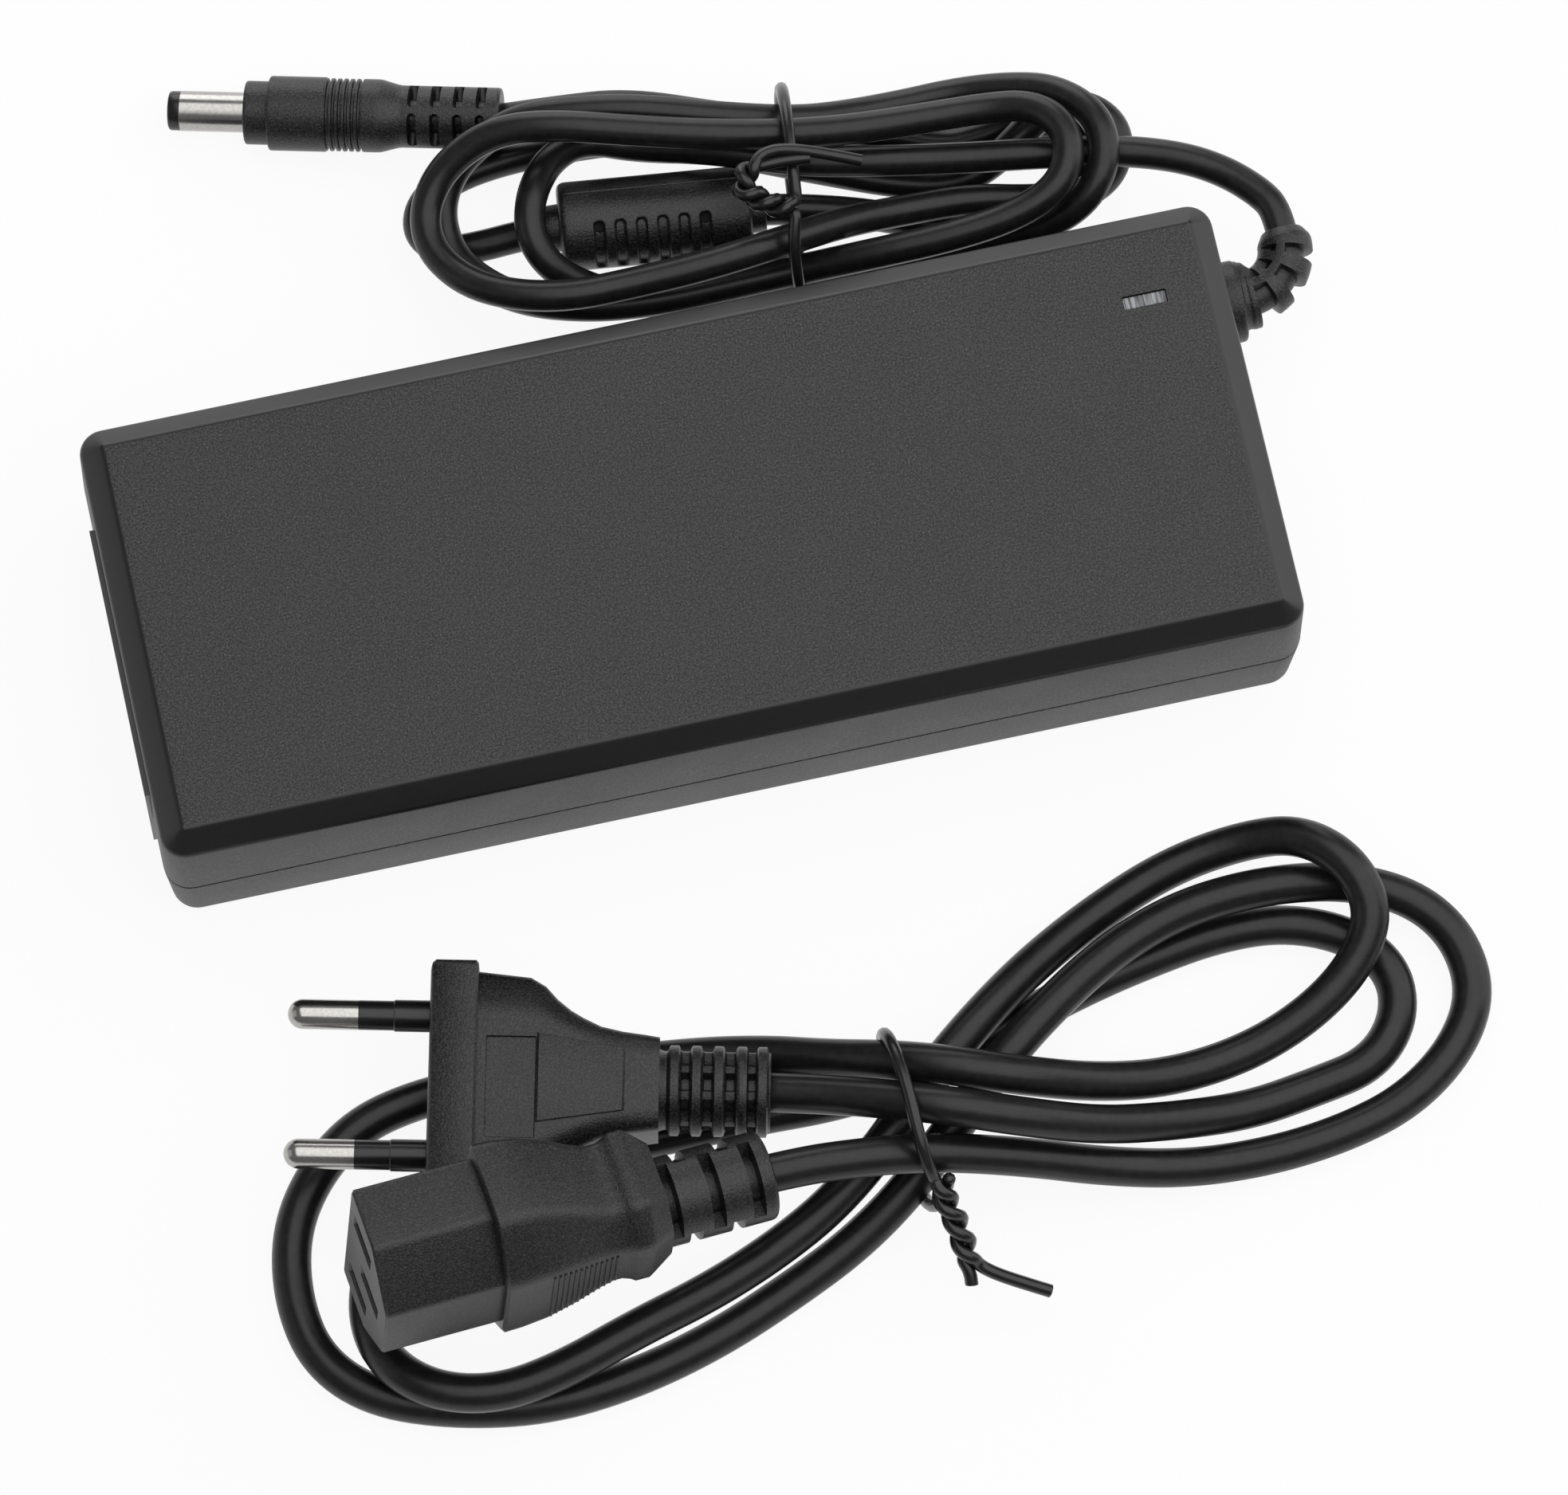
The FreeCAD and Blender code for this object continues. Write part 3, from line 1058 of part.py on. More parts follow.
def make_dc_plug():
    """The barrel plug, along x from its tip."""
    pose = lying(DC_PLUG_TIP, DC_ROUTE[-1])
    length = (Vector(*DC_ROUTE[-1]) - Vector(*DC_PLUG_TIP)).Length
    outer, inner = "barrel_outer / 2", "barrel_inner / 2"
    bare_end = "tip_ring_length + barrel_bare"
    collar_end = f"{bare_end} + collar_length"
    rings_end = "plug_grip_end + ring_zone"
    rear_end = f"{rings_end} + rear_length"
    taper_end = f"{rear_end} + rear_taper"
    ring = cut("tip_ring", rod("tip_ring_out", outer, "tip_ring_length", axis="x"),
               rod("tip_ring_in", "contact_bore / 2", "tip_ring_length", axis="x"))
    node("dc_plug_tip_ring", ring, pose)
    barrel_length = "barrel_bare + barrel_seat"
    barrel = cut("barrel", join("barrel_whole", rod("barrel_out", outer, "barrel_bare", "tip_ring_length", axis="x"),
                                rod("barrel_root", f"{outer} + barrel_flare", "barrel_seat", bare_end, axis="x")),
                 rod("barrel_in", inner, barrel_length, "tip_ring_length", axis="x"))
    node("dc_plug_barrel", barrel, pose)
    filler = cut("filler", rod("filler_out", inner, barrel_length, "tip_ring_length", axis="x"),
                 rod("filler_in", "contact_outer / 2", barrel_length, "tip_ring_length", axis="x"))
    node("dc_plug_insulator", filler, pose)
    contact = cut("contact", rod("contact_out", "contact_outer / 2", barrel_length, "tip_ring_length", axis="x"),
                  rod("contact_in", "contact_bore / 2", barrel_length, "tip_ring_length", axis="x"))
    node("dc_plug_contact", contact, pose)
    collar = rod("plug_collar", "collar_radius", "collar_length", bare_end, axis="x")
    grip = rod("plug_grip", "plug_radius", f"{rings_end} - ({collar_end})", collar_end, axis="x")
    rear = rod("plug_rear", "plug_radius - rear_step", "rear_length", rings_end, axis="x")
    taper = cone("plug_taper", "plug_radius - rear_step", "dc_relief_radius", "rear_taper", rear_end)
    slots = [f"dc_slot_first + {count} * dc_slot_pitch" for count in range(4)]
    relief = slotted_relief("dc_relief", taper_end, f"{length}", "dc_relief_radius",
                            "dc_relief_radius - dc_relief_draft", "dc_relief_core", slots, "dc_slot", "dc_spine")
    grooves = []
    for count in range(5):
        place = f"plug_grip_end + {count} * ring_zone / 5"
        grooves.append(cut(f"plug_groove_{count}", rod(f"plug_groove_out_{count}", "plug_radius + 1", "ring_groove",
                                                       place, axis="x"),
                           rod(f"plug_groove_in_{count}", "plug_radius - ring_groove", "ring_groove", place,
                               axis="x")))
    seat = rod("plug_seat", f"{outer} + barrel_flare", "barrel_seat", bare_end, axis="x")
    cord_way = rod("plug_cord_way", "dc_cord / 2", "cord_seat + 1", f"{length} - cord_seat", axis="x")
    node("dc_plug_body", cut("dc_plug_body", join("plug_blank", collar, grip, rear, taper, relief),
                             seat, cord_way, *grooves), pose)


def make_mains_plug():
    """The two-pin mains plug, along x from its face."""
    pose = lying(MAINS_PLUG_FACE, MAINS_ROUTE[-1])
    length = (Vector(*MAINS_ROUTE[-1]) - Vector(*MAINS_PLUG_FACE)).Length
    plate = block("plug_plate", "plate_thickness", "plate_width", "plate_tall", "plate_thickness / 2", "0",
                  "-plate_tall / 2")
    sides = [("plate_thickness - shoulder_sink", "shoulder_width / 2"),
             ("shoulder_end", "(shoulder_width - shoulder_taper) / 2"), ("hip_end", "hip_width / 2"),
             ("waist_end", "waist_width / 2"), ("plug_length", "plug_neck / 2")]
    outline = [(along, f"-({across})") for along, across in sides] + sides[::-1]
    wedge = outline_pad("plug_wedge", outline, "plug_tall", "XY_Plane", "-plug_tall / 2")
    slots = [f"plug_length + plug_slot_first + {count} * plug_slot_pitch" for count in range(4)]
    relief = slotted_relief("plug_relief", "plug_length", f"{length}", "mains_relief / 2", "mains_relief / 2",
                            "mains_relief_core / 2", slots, "plug_slot", "mains_spine")
    cord_way = rod("plug_cord_hole", "mains_cord / 2", "cord_seat + 1", f"{length} - cord_seat", axis="x")
    pins, sleeves, holes = [], [], []
    for count, way in enumerate("-+"):
        y = f"{way} plug_pin_spacing / 2"
        bare = rod(f"pin_bare_{count}", "plug_pin / 2", "plug_pin_bare - plug_pin / 2",
                   "-plug_pin_length + plug_pin / 2", y, axis="x")
        tip = put(bind(doc.addObject("Part::Sphere", f"pin_tip_{count}"), Radius="plug_pin / 2"),
                  "-plug_pin_length + plug_pin / 2", y)
        root = "plug_pin_length - plug_pin_bare + plug_pin_root"
        core = rod(f"pin_core_{count}", "plug_pin_core / 2", root, "-plug_pin_length + plug_pin_bare", y, axis="x")
        pins.append(join(f"pin_{count}", bare, tip, core))
        holes.append(rod(f"pin_hole_{count}", "plug_pin_core / 2", "plug_pin_root + 1", "-1", y, axis="x"))
        tube_length = "plug_pin_length - plug_pin_bare"
        sleeves.append(cut(f"sleeve_{count}", rod(f"sleeve_out_{count}", "plug_pin / 2", tube_length,
                                                  "-plug_pin_length + plug_pin_bare", y, axis="x"),
                           rod(f"sleeve_in_{count}", "plug_pin_core / 2", tube_length,
                               "-plug_pin_length + plug_pin_bare", y, axis="x")))
    node("mains_plug_body", cut("mains_plug_body", join("mains_plug_blank", plate, wedge, relief), cord_way, *holes),
         pose)
    node("mains_plug_pins", group("mains_plug_pins", *pins), pose)
    node("mains_plug_sleeves", group("mains_plug_sleeves", *sleeves), pose)


def make_connector():
    """The three-slot mains connector, along x from its face, with the earth side towards its own +z."""
    pose = lying(CONNECTOR_FACE, MAINS_ROUTE[0], CONNECTOR_ROLL)
    length = (Vector(*MAINS_ROUTE[0]) - Vector(*CONNECTOR_FACE)).Length
    nose = outline_pad("nose", cut_corner_outline("0"), "nose_length + 1")
    stop_end = "nose_length + finger_stop + finger_stop_length"
    sections = [("grip_tall", "grip_width", "grip_corner", "nose_length"),
                ("grip_tall", "grip_width", "grip_corner", "nose_length + grip_straight"),
                ("grip_swell_tall", "grip_swell_width", "grip_corner", "nose_length + grip_swell"),
                ("grip_waist_tall", "grip_waist_width", "grip_corner", "nose_length + grip_waist"),
                ("finger_stop_tall", "finger_stop_width", "grip_corner", "nose_length + finger_stop"),
                ("finger_stop_tall", "finger_stop_width", "grip_corner", stop_end),
                ("grip_end_tall", "grip_end_width", "grip_end_corner", "grip_length")]
    grip = shell("grip", sections)
    grip.Placement = Placement(Vector(), AXES["x"])
    slots = [f"grip_length + connector_slot_first + {count} * connector_slot_pitch" for count in range(3)]
    relief = slotted_relief("connector_relief", "grip_length", f"{length}", "mains_relief / 2", "mains_relief / 2",
                            "mains_relief_core / 2", slots, "connector_slot", "mains_spine")
    cord_way = rod("connector_cord_way", "mains_cord / 2", "cord_seat + 1", f"{length} - cord_seat", axis="x")
    cavities, contacts = [], []
    for count, (side, row) in enumerate(blade_spots()):
        z = f"{row} - slot_tall / 2"
        mouth = block(f"slot_{count}", "slot_depth + 1", "slot_width", "slot_tall", "(slot_depth - 1) / 2", side, z)
        room = block(f"slot_room_{count}", "contact_length", "contact_room", "slot_tall",
                     "slot_depth + contact_length / 2", side, z)
        cavities += [mouth, room]
        sleeve = block(f"contact_{count}", "contact_length - contact_sheet", "contact_room - 2 * contact_gap",
                       "slot_tall - 2 * contact_gap", "slot_depth + (contact_length + contact_sheet) / 2", side,
                       f"{z} + contact_gap")
        gap = block(f"contact_hollow_{count}", "contact_length - contact_sheet",
                    "contact_room - 2 * contact_gap - 2 * contact_sheet",
                    "slot_tall - 2 * contact_gap - 2 * contact_sheet",
                    "slot_depth + (contact_length - 3 * contact_sheet) / 2", side,
                    f"{z} + contact_gap + contact_sheet")
        contacts.append(cut(f"contact_shell_{count}", sleeve, gap))
    node("connector_body", cut("connector_body", join("connector_blank", nose, grip, relief), cord_way, *cavities),
         pose)
    node("connector_contacts", group("connector_contacts", *contacts), pose)


def make_mains_cord():
    """The mains cord: its end at the connector, its loose loops and its end at the plug."""
    diameter = size("mains_cord")
    route = seated(seated(MAINS_ROUTE, MAINS_PLUG_FACE)[::-1], CONNECTOR_FACE)[::-1]
    last = len(route) - 2
    whole, radii = route_wire(route, 1, last)
    report_route("mains cord", whole, radii, diameter)
    start, _ = route_wire(route, 1, len(MAINS_CONNECTOR_END) - 1)
    node("mains_cord_connector_end", tube("mains_cord_connector_end", start, diameter))
    hank, _ = route_wire(route, len(MAINS_CONNECTOR_END), len(MAINS_CONNECTOR_END + MAINS_HANK) - 1)
    node("mains_cord_hank", tube("mains_cord_hank", hank, diameter))
    end, _ = route_wire(route, len(MAINS_CONNECTOR_END + MAINS_HANK), last)
    node("mains_cord_plug_end", tube("mains_cord_plug_end", end, diameter))
    tie, radii = route_wire(MAINS_TIE, 1, len(MAINS_TIE) - 2)
    report_route("mains cord tie", tie, radii, size("tie_wire"))
    node("mains_cord_tie", tube("mains_cord_tie", tie, size("tie_wire")))


make_case()
make_inlet()
make_board()
make_input_side()
make_power_stage()
make_output_side()
make_bend_relief()
make_dc_cord()
make_choke()
make_dc_plug()
make_mains_plug()
make_connector()
make_mains_cord()
doc.recompute()

failed = [thing.Name for thing in doc.Objects if "Invalid" in thing.State or "Error" in thing.State]
bad = [name for name, thing in nodes.items() if thing.Shape.isNull() or not thing.Shape.isValid()]
if failed or bad:
    raise RuntimeError(f"failed objects {failed}, bad shapes {bad}")
os.makedirs("parts", exist_ok=True)
for name, thing in nodes.items():
    thing.Shape.exportStep(f"parts/{name}.step")
    bounds = thing.Shape.BoundBox
    print(f"{name}: {len(thing.Shape.Solids)} solids, {thing.Shape.Volume:.1f} mm3,"
          f" x {bounds.XMin:.1f} {bounds.XMax:.1f}"
          f" y {bounds.YMin:.1f} {bounds.YMax:.1f} z {bounds.ZMin:.1f} {bounds.ZMax:.1f}")
print(f"{len(nodes)} nodes")
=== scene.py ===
import json
import math

import bpy
import numpy as np
from mathutils import Matrix, Vector


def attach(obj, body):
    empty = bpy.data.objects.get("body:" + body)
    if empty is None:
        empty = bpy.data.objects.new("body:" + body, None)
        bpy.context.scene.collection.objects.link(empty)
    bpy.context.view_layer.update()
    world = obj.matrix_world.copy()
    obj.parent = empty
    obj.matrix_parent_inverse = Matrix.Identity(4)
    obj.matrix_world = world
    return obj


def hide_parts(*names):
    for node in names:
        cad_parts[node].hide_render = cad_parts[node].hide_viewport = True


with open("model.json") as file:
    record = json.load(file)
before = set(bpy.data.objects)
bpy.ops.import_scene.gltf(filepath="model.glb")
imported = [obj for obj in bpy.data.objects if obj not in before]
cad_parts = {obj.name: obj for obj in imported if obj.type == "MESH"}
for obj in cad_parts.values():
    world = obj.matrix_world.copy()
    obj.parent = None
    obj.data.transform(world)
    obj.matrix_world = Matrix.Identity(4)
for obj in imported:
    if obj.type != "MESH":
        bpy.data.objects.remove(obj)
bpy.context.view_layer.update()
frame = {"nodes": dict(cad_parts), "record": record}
nodes = frame["nodes"]
print("frame loaded:", len(nodes), "nodes")

mm = 0.001
fullTurn = 2 * np.pi


# Shared mesh helpers

def addObject(name, data):
    thing = bpy.data.objects.new(name, data)
    bpy.context.collection.objects.link(thing)
    return thing


def newPiece(name, verts, faces, sharpAngle=35):
    mesh = bpy.data.meshes.new(name)
    mesh.from_pydata([tuple(v) for v in np.asarray(verts) * mm], [], faces)
    mesh.validate()
    mesh.shade_smooth()
    mesh.set_sharp_from_angle(angle=math.radians(sharpAngle))
    return addObject(name, mesh)


def gridFaces(rows, cols, closedRows=False):
    # quads between neighbouring points of a grid whose columns wrap, and its rows too when closed
    r, c = np.meshgrid(np.arange(rows if closedRows else rows - 1), np.arange(cols), indexing="ij")
    r2, c2 = (r + 1) % rows, (c + 1) % cols
    quads = np.stack([r * cols + c, r * cols + c2, r2 * cols + c2, r2 * cols + c], axis=-1)
    return quads.reshape(-1, 4).tolist()


def outwards(verts, faces):
    # the faces, turned over when the volume they enclose comes out negative
    volume = 0.0
    for face in faces:
        a = verts[face[0]]
        for b, c in zip(face[1:-1], face[2:]):
            volume += np.dot(a, np.cross(verts[b], verts[c]))
    return [face[::-1] for face in faces] if volume < 0 else faces


def tubeParts(rings):
    # closed skin over rings of points: quads between the rings and a fan over each end
    rings = np.asarray(rings, float)
    rows, cols = rings.shape[:2]
    verts = rings.reshape(-1, 3)
    faces = gridFaces(rows, cols)
    for row in (0, rows - 1):
        centre = len(verts)
        verts = np.vstack([verts, rings[row].mean(axis=0)])
        ring = [row * cols + k for k in range(cols)]
        pairs = zip(ring, ring[1:] + ring[:1])
        faces += [[centre, b, a] if row == 0 else [centre, a, b] for a, b in pairs]
    return verts, outwards(verts, faces)


def joinParts(parts):
    verts, faces, base = [], [], 0
    for partVerts, partFaces in parts:
        verts.append(np.asarray(partVerts, float))
        faces += [[index + base for index in face] for face in partFaces]
        base += len(partVerts)
    return np.vstack(verts), faces


def lyingAxes(start, end, roll=0.0):
    # local x along start to end, local z upwards, then turned by roll about x
    start, end = np.array(start, float), np.array(end, float)
    x = (end - start) / np.linalg.norm(end - start)
    y = np.cross([0, 0, 1.0], x)
    y /= np.linalg.norm(y)
    z = np.cross(x, y)
    c, s = math.cos(math.radians(roll)), math.sin(math.radians(roll))
    return start, np.stack([x, c * y + s * z, -s * y + c * z])


def placed(parts, pose):
    origin, axes = pose
    verts, faces = parts
    return np.asarray(verts) @ axes + origin, faces


def circled(profile, sides):
    # profile of (along x, radius) turned about the x axis
    profile = np.asarray(profile, float)
    angle = np.linspace(0, fullTurn, sides, endpoint=False)
    x = np.repeat(profile[:, :1], sides, axis=1)
    return np.stack([x, profile[:, 1:] * np.cos(angle), profile[:, 1:] * np.sin(angle)], axis=-1)


def lathe(profile, sides=48):
    return tubeParts(circled(profile, sides))


def closedLathe(profile, sides=64):
    # the profile is a closed loop, which makes a ring or sleeve
    verts = circled(profile, sides).reshape(-1, 3)
    return verts, outwards(verts, gridFaces(len(profile), sides, closedRows=True))


def roundedCorner(here, back, on, radius, count):
    # quadratic round of about that radius; back and on point to the corners before and after
    cutBack = min(radius, 0.45 * np.linalg.norm(back), 0.45 * np.linalg.norm(on))
    first = here + back / np.linalg.norm(back) * cutBack
    last = here + on / np.linalg.norm(on) * cutBack
    return [(1 - u) ** 2 * first + 2 * u * (1 - u) * here + u ** 2 * last for u in np.linspace(0, 1, count)]


def roundedProfile(corners, steps=5):
    # open line of (x, y, radius) with its inner corners rounded
    places = np.array(corners, float)[:, :2]
    out = []
    for i, here in enumerate(places):
        radius = corners[i][2]
        if radius <= 0 or i in (0, len(places) - 1):
            out.append(here)
        else:
            out += roundedCorner(here, places[i - 1] - here, places[i + 1] - here, radius, steps + 1)
    return np.array(out)


def roundedPolygon(corners, radius, steps):
    # closed polygon with all its corners rounded
    corners = np.asarray(corners, float)
    out = []
    for here, before, after in zip(corners, np.roll(corners, 1, axis=0), np.roll(corners, -1, axis=0)):
        out += roundedCorner(here, before - here, after - here, radius, steps)
    return np.array(out)


def standingRing(ring, x):
    # outline of (y, z) across the x axis
    return np.c_[np.full(len(ring), x), ring]


def lyingRing(ring, z):
    # outline of (x, y) at a height
    return np.c_[ring, np.full(len(ring), z)]


def spanOf(start, end):
    return np.linalg.norm(np.subtract(end, start))


def risingPlaces(profile):
    # places along x of a profile, nudged so that steep steps can be looked up
    return profile[:, 0] + np.arange(len(profile)) * 1e-5


def cutAway(piece, cutters):
    # the cutters' shapes taken out of the piece's mesh
    for cutter in cutters:
        modifier = piece.modifiers.new("Boolean", "BOOLEAN")
        modifier.operation = "DIFFERENCE"
        modifier.solver = "EXACT"
        modifier.object = cutter
    graph = bpy.context.evaluated_depsgraph_get()
    mesh = bpy.data.meshes.new_from_object(piece.evaluated_get(graph))
    piece.modifiers.clear()
    piece.data = mesh


def removeAll(pieces):
    for piece in pieces:
        bpy.data.objects.remove(piece)


def tubeCurve(name, points, diameter, order, resolution, roundness):
    # round tube on a smooth line that has the points as its control points
    curve = bpy.data.curves.new(name, "CURVE")
    curve.dimensions = "3D"
    line = curve.splines.new("NURBS")
    line.points.add(len(points) - 1)
    line.points.foreach_set("co", np.c_[np.array(points) * mm, np.ones(len(points))].ravel())
    line.order_u = order
    line.use_endpoint_u = True
    line.resolution_u = resolution
    curve.bevel_depth = diameter / 2 * mm
    curve.bevel_resolution = roundness
    curve.use_fill_caps = True
    return addObject(name, curve)


def finishPiece(piece, body, slotName, *replaced):
    piece.data.materials.clear()
    piece.data.materials.append(lookOf(slotName))
    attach(piece, body)
    if replaced:
        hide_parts(*replaced)
    return piece


# Materials

def feed(tree, socket, value):
    # sets the socket, or links it where the value is another node's output
    if isinstance(value, bpy.types.NodeSocket):
        tree.links.new(value, socket)
    else:
        socket.default_value = value


def addNode(tree, kind, **inputs):
    node = tree.nodes.new("ShaderNode" + kind)
    for key, value in inputs.items():
        feed(tree, node.inputs[key.replace("_", " ")], value)
    return node


def addRamp(tree, value, colour, stops):
    # tones of a colour: each stop is (place of the value, share of the colour)
    ramp = addNode(tree, "ValToRGB", Fac=value)
    tones = ramp.color_ramp.elements
    for index, (place, share) in enumerate(stops):
        tone = tones[index] if index < 2 else tones.new(place)
        tone.position = place
        tone.color = (*[min(1, c * share) for c in colour], 1)
    return ramp.outputs["Color"]


def shaderMaterial(name, colour, roughness, metallic=0.0, **sockets):
    material = bpy.data.materials.new(name)
    material.use_nodes = True
    shader = material.node_tree.nodes["Principled BSDF"]
    sockets.update(Base_Color=(*colour, 1), Roughness=roughness, Metallic=metallic)
    for key, value in sockets.items():
        shader.inputs[key.replace("_", " ")].default_value = value
    return material, shader


finishes = {
    # name: colour, roughness, metallic, grain size mm, bump strength, bump height mm, tone spread, blotch mm
    "coverGrain": ((0.0242, 0.0241, 0.0239), 0.5, 0, 0.26, 0.9, 0.08, 0.95, 9),
    "coverRim": ((0.010, 0.0098, 0.0096), 0.34, 0, 0.5, 0.12, 0.01, 0.1, 12),
    "cordJacket": ((0.009, 0.009, 0.009), 0.34, 0, 1.1, 0.2, 0.03, 0.25, 5),
    "plugGrain": ((0.0125, 0.0125, 0.0125), 0.38, 0, 0.27, 0.8, 0.09, 0.95, 6),
    "plugSmooth": ((0.008, 0.008, 0.008), 0.28, 0, 0.6, 0.1, 0.01, 0.15, 6),
    "nickel": ((0.44, 0.43, 0.41), 0.22, 1, 0.4, 0.08, 0.01, 0.06, 2),
    "tieJacket": ((0.009, 0.009, 0.009), 0.26, 0, 0.8, 0.1, 0.02, 0.2, 3),
    "boardGreen": ((0.03, 0.15, 0.06), 0.4, 0, 0.5, 0.1, 0.02, 0.2, 6),
    "sheetBlack": ((0.03, 0.03, 0.03), 0.4, 0, 0.5, 0.1, 0.01, 0.1, 8),
    "bareAluminium": ((0.6, 0.61, 0.62), 0.35, 1, 0.3, 0.1, 0.01, 0.05, 5),
    "fuseBrown": ((0.12, 0.05, 0.03), 0.4, 0, 0.5, 0.05, 0.01, 0.1, 4),
    "varistorBlue": ((0.03, 0.08, 0.3), 0.35, 0, 0.6, 0.2, 0.05, 0.1, 3),
    "capacitorYellow": ((0.6, 0.42, 0.06), 0.35, 0, 0.5, 0.05, 0.01, 0.1, 4),
    "ferriteGrey": ((0.008, 0.008, 0.0085), 0.7, 0, 0.3, 0.4, 0.04, 0.25, 3),
    "copperWire": ((0.6, 0.24, 0.09), 0.25, 0.7, 0.6, 0.2, 0.05, 0.15, 3),
    "epoxyBlack": ((0.02, 0.02, 0.02), 0.6, 0, 0.2, 0.3, 0.02, 0.2, 3),
    "capacitorSleeve": ((0.02, 0.03, 0.08), 0.3, 0, 0.8, 0.05, 0.01, 0.1, 5),
    "bobbinCream": ((0.6, 0.52, 0.3), 0.45, 0, 0.5, 0.1, 0.01, 0.1, 4),
    "tapeYellow": ((0.7, 0.5, 0.05), 0.3, 0, 0.9, 0.1, 0.02, 0.12, 4),
    "wireRed": ((0.25, 0.02, 0.02), 0.35, 0, 0.6, 0.05, 0.01, 0.1, 4),
}
sheen = {"cordJacket": 0.4, "ferriteGrey": 0.2}  # specular level where it isn't 0.5
grain = {
    "detail": 3, "dark": 0.38, "light": 0.64,  # places of the two tones in the fine noise
    "tip": (0.74, 4), "tipsFrom": 0.5,  # painted glints, bright specks at the peaks of the fine noise: place, share of the colour, and least tone spread
    "wideDetail": 4, "glossSpread": 0.05,
}
clouding = {
    "perMetre": 2300, "stops": ((0.36, 0.45), (0.64, 2.2)),  # place in the noise, share of the colour
    "ior": 1.49, "clear": 0.35,
}


def makeFinish(name):
    # moulded grain: fine noise lifts the surface and shifts its tone, its highest peaks carry painted glints
    # where the tone spreads widely, and wide noise varies the gloss
    colour, roughness, metallic, size, strength, height, tone, blotch = finishes[name]
    gleam = sheen.get(name, 0.5)
    material, shader = shaderMaterial(name, colour, roughness, metallic, Specular_IOR_Level=gleam)
    tree = material.node_tree
    place = addNode(tree, "TexCoord").outputs["Object"]
    fine = addNode(tree, "TexNoise", Scale=1 / (size * mm), Detail=grain["detail"], Vector=place)
    bump = addNode(tree, "Bump", Strength=strength, Distance=height * mm, Height=fine.outputs["Fac"])
    stops = [(grain["dark"], 1 - tone), (grain["light"], 1 + tone)]
    # painted glints: the highest peaks of the fine noise turn several times brighter than the colour
    if tone > grain["tipsFrom"]:
        stops.append(grain["tip"])
    wide = addNode(tree, "TexNoise", Scale=1 / (blotch * mm), Detail=grain["wideDetail"], Vector=place)
    gloss = addNode(tree, "MapRange", Value=wide.outputs["Fac"], To_Min=roughness - grain["glossSpread"],
                    To_Max=roughness + grain["glossSpread"])
    feed(tree, shader.inputs["Normal"], bump.outputs["Normal"])
    feed(tree, shader.inputs["Base Color"], addRamp(tree, fine.outputs["Fac"], colour, stops))
    feed(tree, shader.inputs["Roughness"], gloss.outputs["Result"])
    return material


def clearFinish(name, colour, roughness, streak):
    # clouded light guide: streaks along y shift its tone
    material, shader = shaderMaterial(name, colour, roughness, IOR=clouding["ior"],
                                      Transmission_Weight=clouding["clear"])
    tree = material.node_tree
    place = addNode(tree, "TexCoord").outputs["Object"]
    stretch = addNode(tree, "Mapping", Vector=place, Scale=(1, streak, 1))
    noise = addNode(tree, "TexNoise", Scale=clouding["perMetre"], Vector=stretch.outputs["Vector"])
    feed(tree, shader.inputs["Base Color"], addRamp(tree, noise.outputs["Fac"], colour, clouding["stops"]))
    return material


looks = {name: makeFinish(name) for name in finishes}
looks["lampWindow"] = clearFinish("lampWindow", (0.27, 0.28, 0.29), 0.35, 0.1)
looks["lampClear"] = clearFinish("lampClear", (0.4, 0.5, 0.4), 0.15, 1)

otherLooks = {
    "cover_black": "coverGrain", "inlet_black": "plugSmooth", "ferrite": "ferriteGrey",
    "cord_black": "cordJacket", "plug_black": "plugGrain", "tip_black": "plugSmooth",
    "tie_black": "tieJacket",
}


def lookOf(slotName):
    # most slots are named as their finish is, such as board_green and boardGreen
    first, *rest = slotName.split("_")
    return looks[otherLooks.get(slotName, first + "".join(word.title() for word in rest))]


for entry in frame["record"]["subparts"]:
    for slot in nodes[entry["node"]].material_slots:
        slot.material = lookOf(entry["material_slot"])
print("finishes made:", len(looks))


# Camera, lights and floor

view = {
    "azimuth": 13.6859, "elevation": 74.2359, "roll": 1.3527,  # degrees
    "target": (7.5342, -24.2014, 0.0), "distance": 1335.38,  # mm
    "lens": 227.4, "sensor": 36.0,  # mm
    "clipEnd": 20,  # m
}


def makeCamera():
    a, e, r = [math.radians(view[key]) for key in ("azimuth", "elevation", "roll")]
    back = Vector((-math.sin(a) * math.cos(e), -math.cos(a) * math.cos(e), math.sin(e)))
    flat = (-back).cross(Vector((0, 0, 1))).normalized()
    tall = flat.cross(-back)
    right = math.cos(r) * flat + math.sin(r) * tall
    up = -math.sin(r) * flat + math.cos(r) * tall
    data = bpy.data.cameras.new("photoCamera")
    data.lens = view["lens"]
    data.sensor_width = view["sensor"]
    data.sensor_fit = "HORIZONTAL"
    data.clip_end = view["clipEnd"]
    camera = addObject("photoCamera", data)
    place = (Vector(view["target"]) + view["distance"] * back) * mm
    camera.matrix_world = Matrix.Translation(place) @ Matrix((right, up, back)).transposed().to_4x4()
    bpy.context.scene.camera = camera


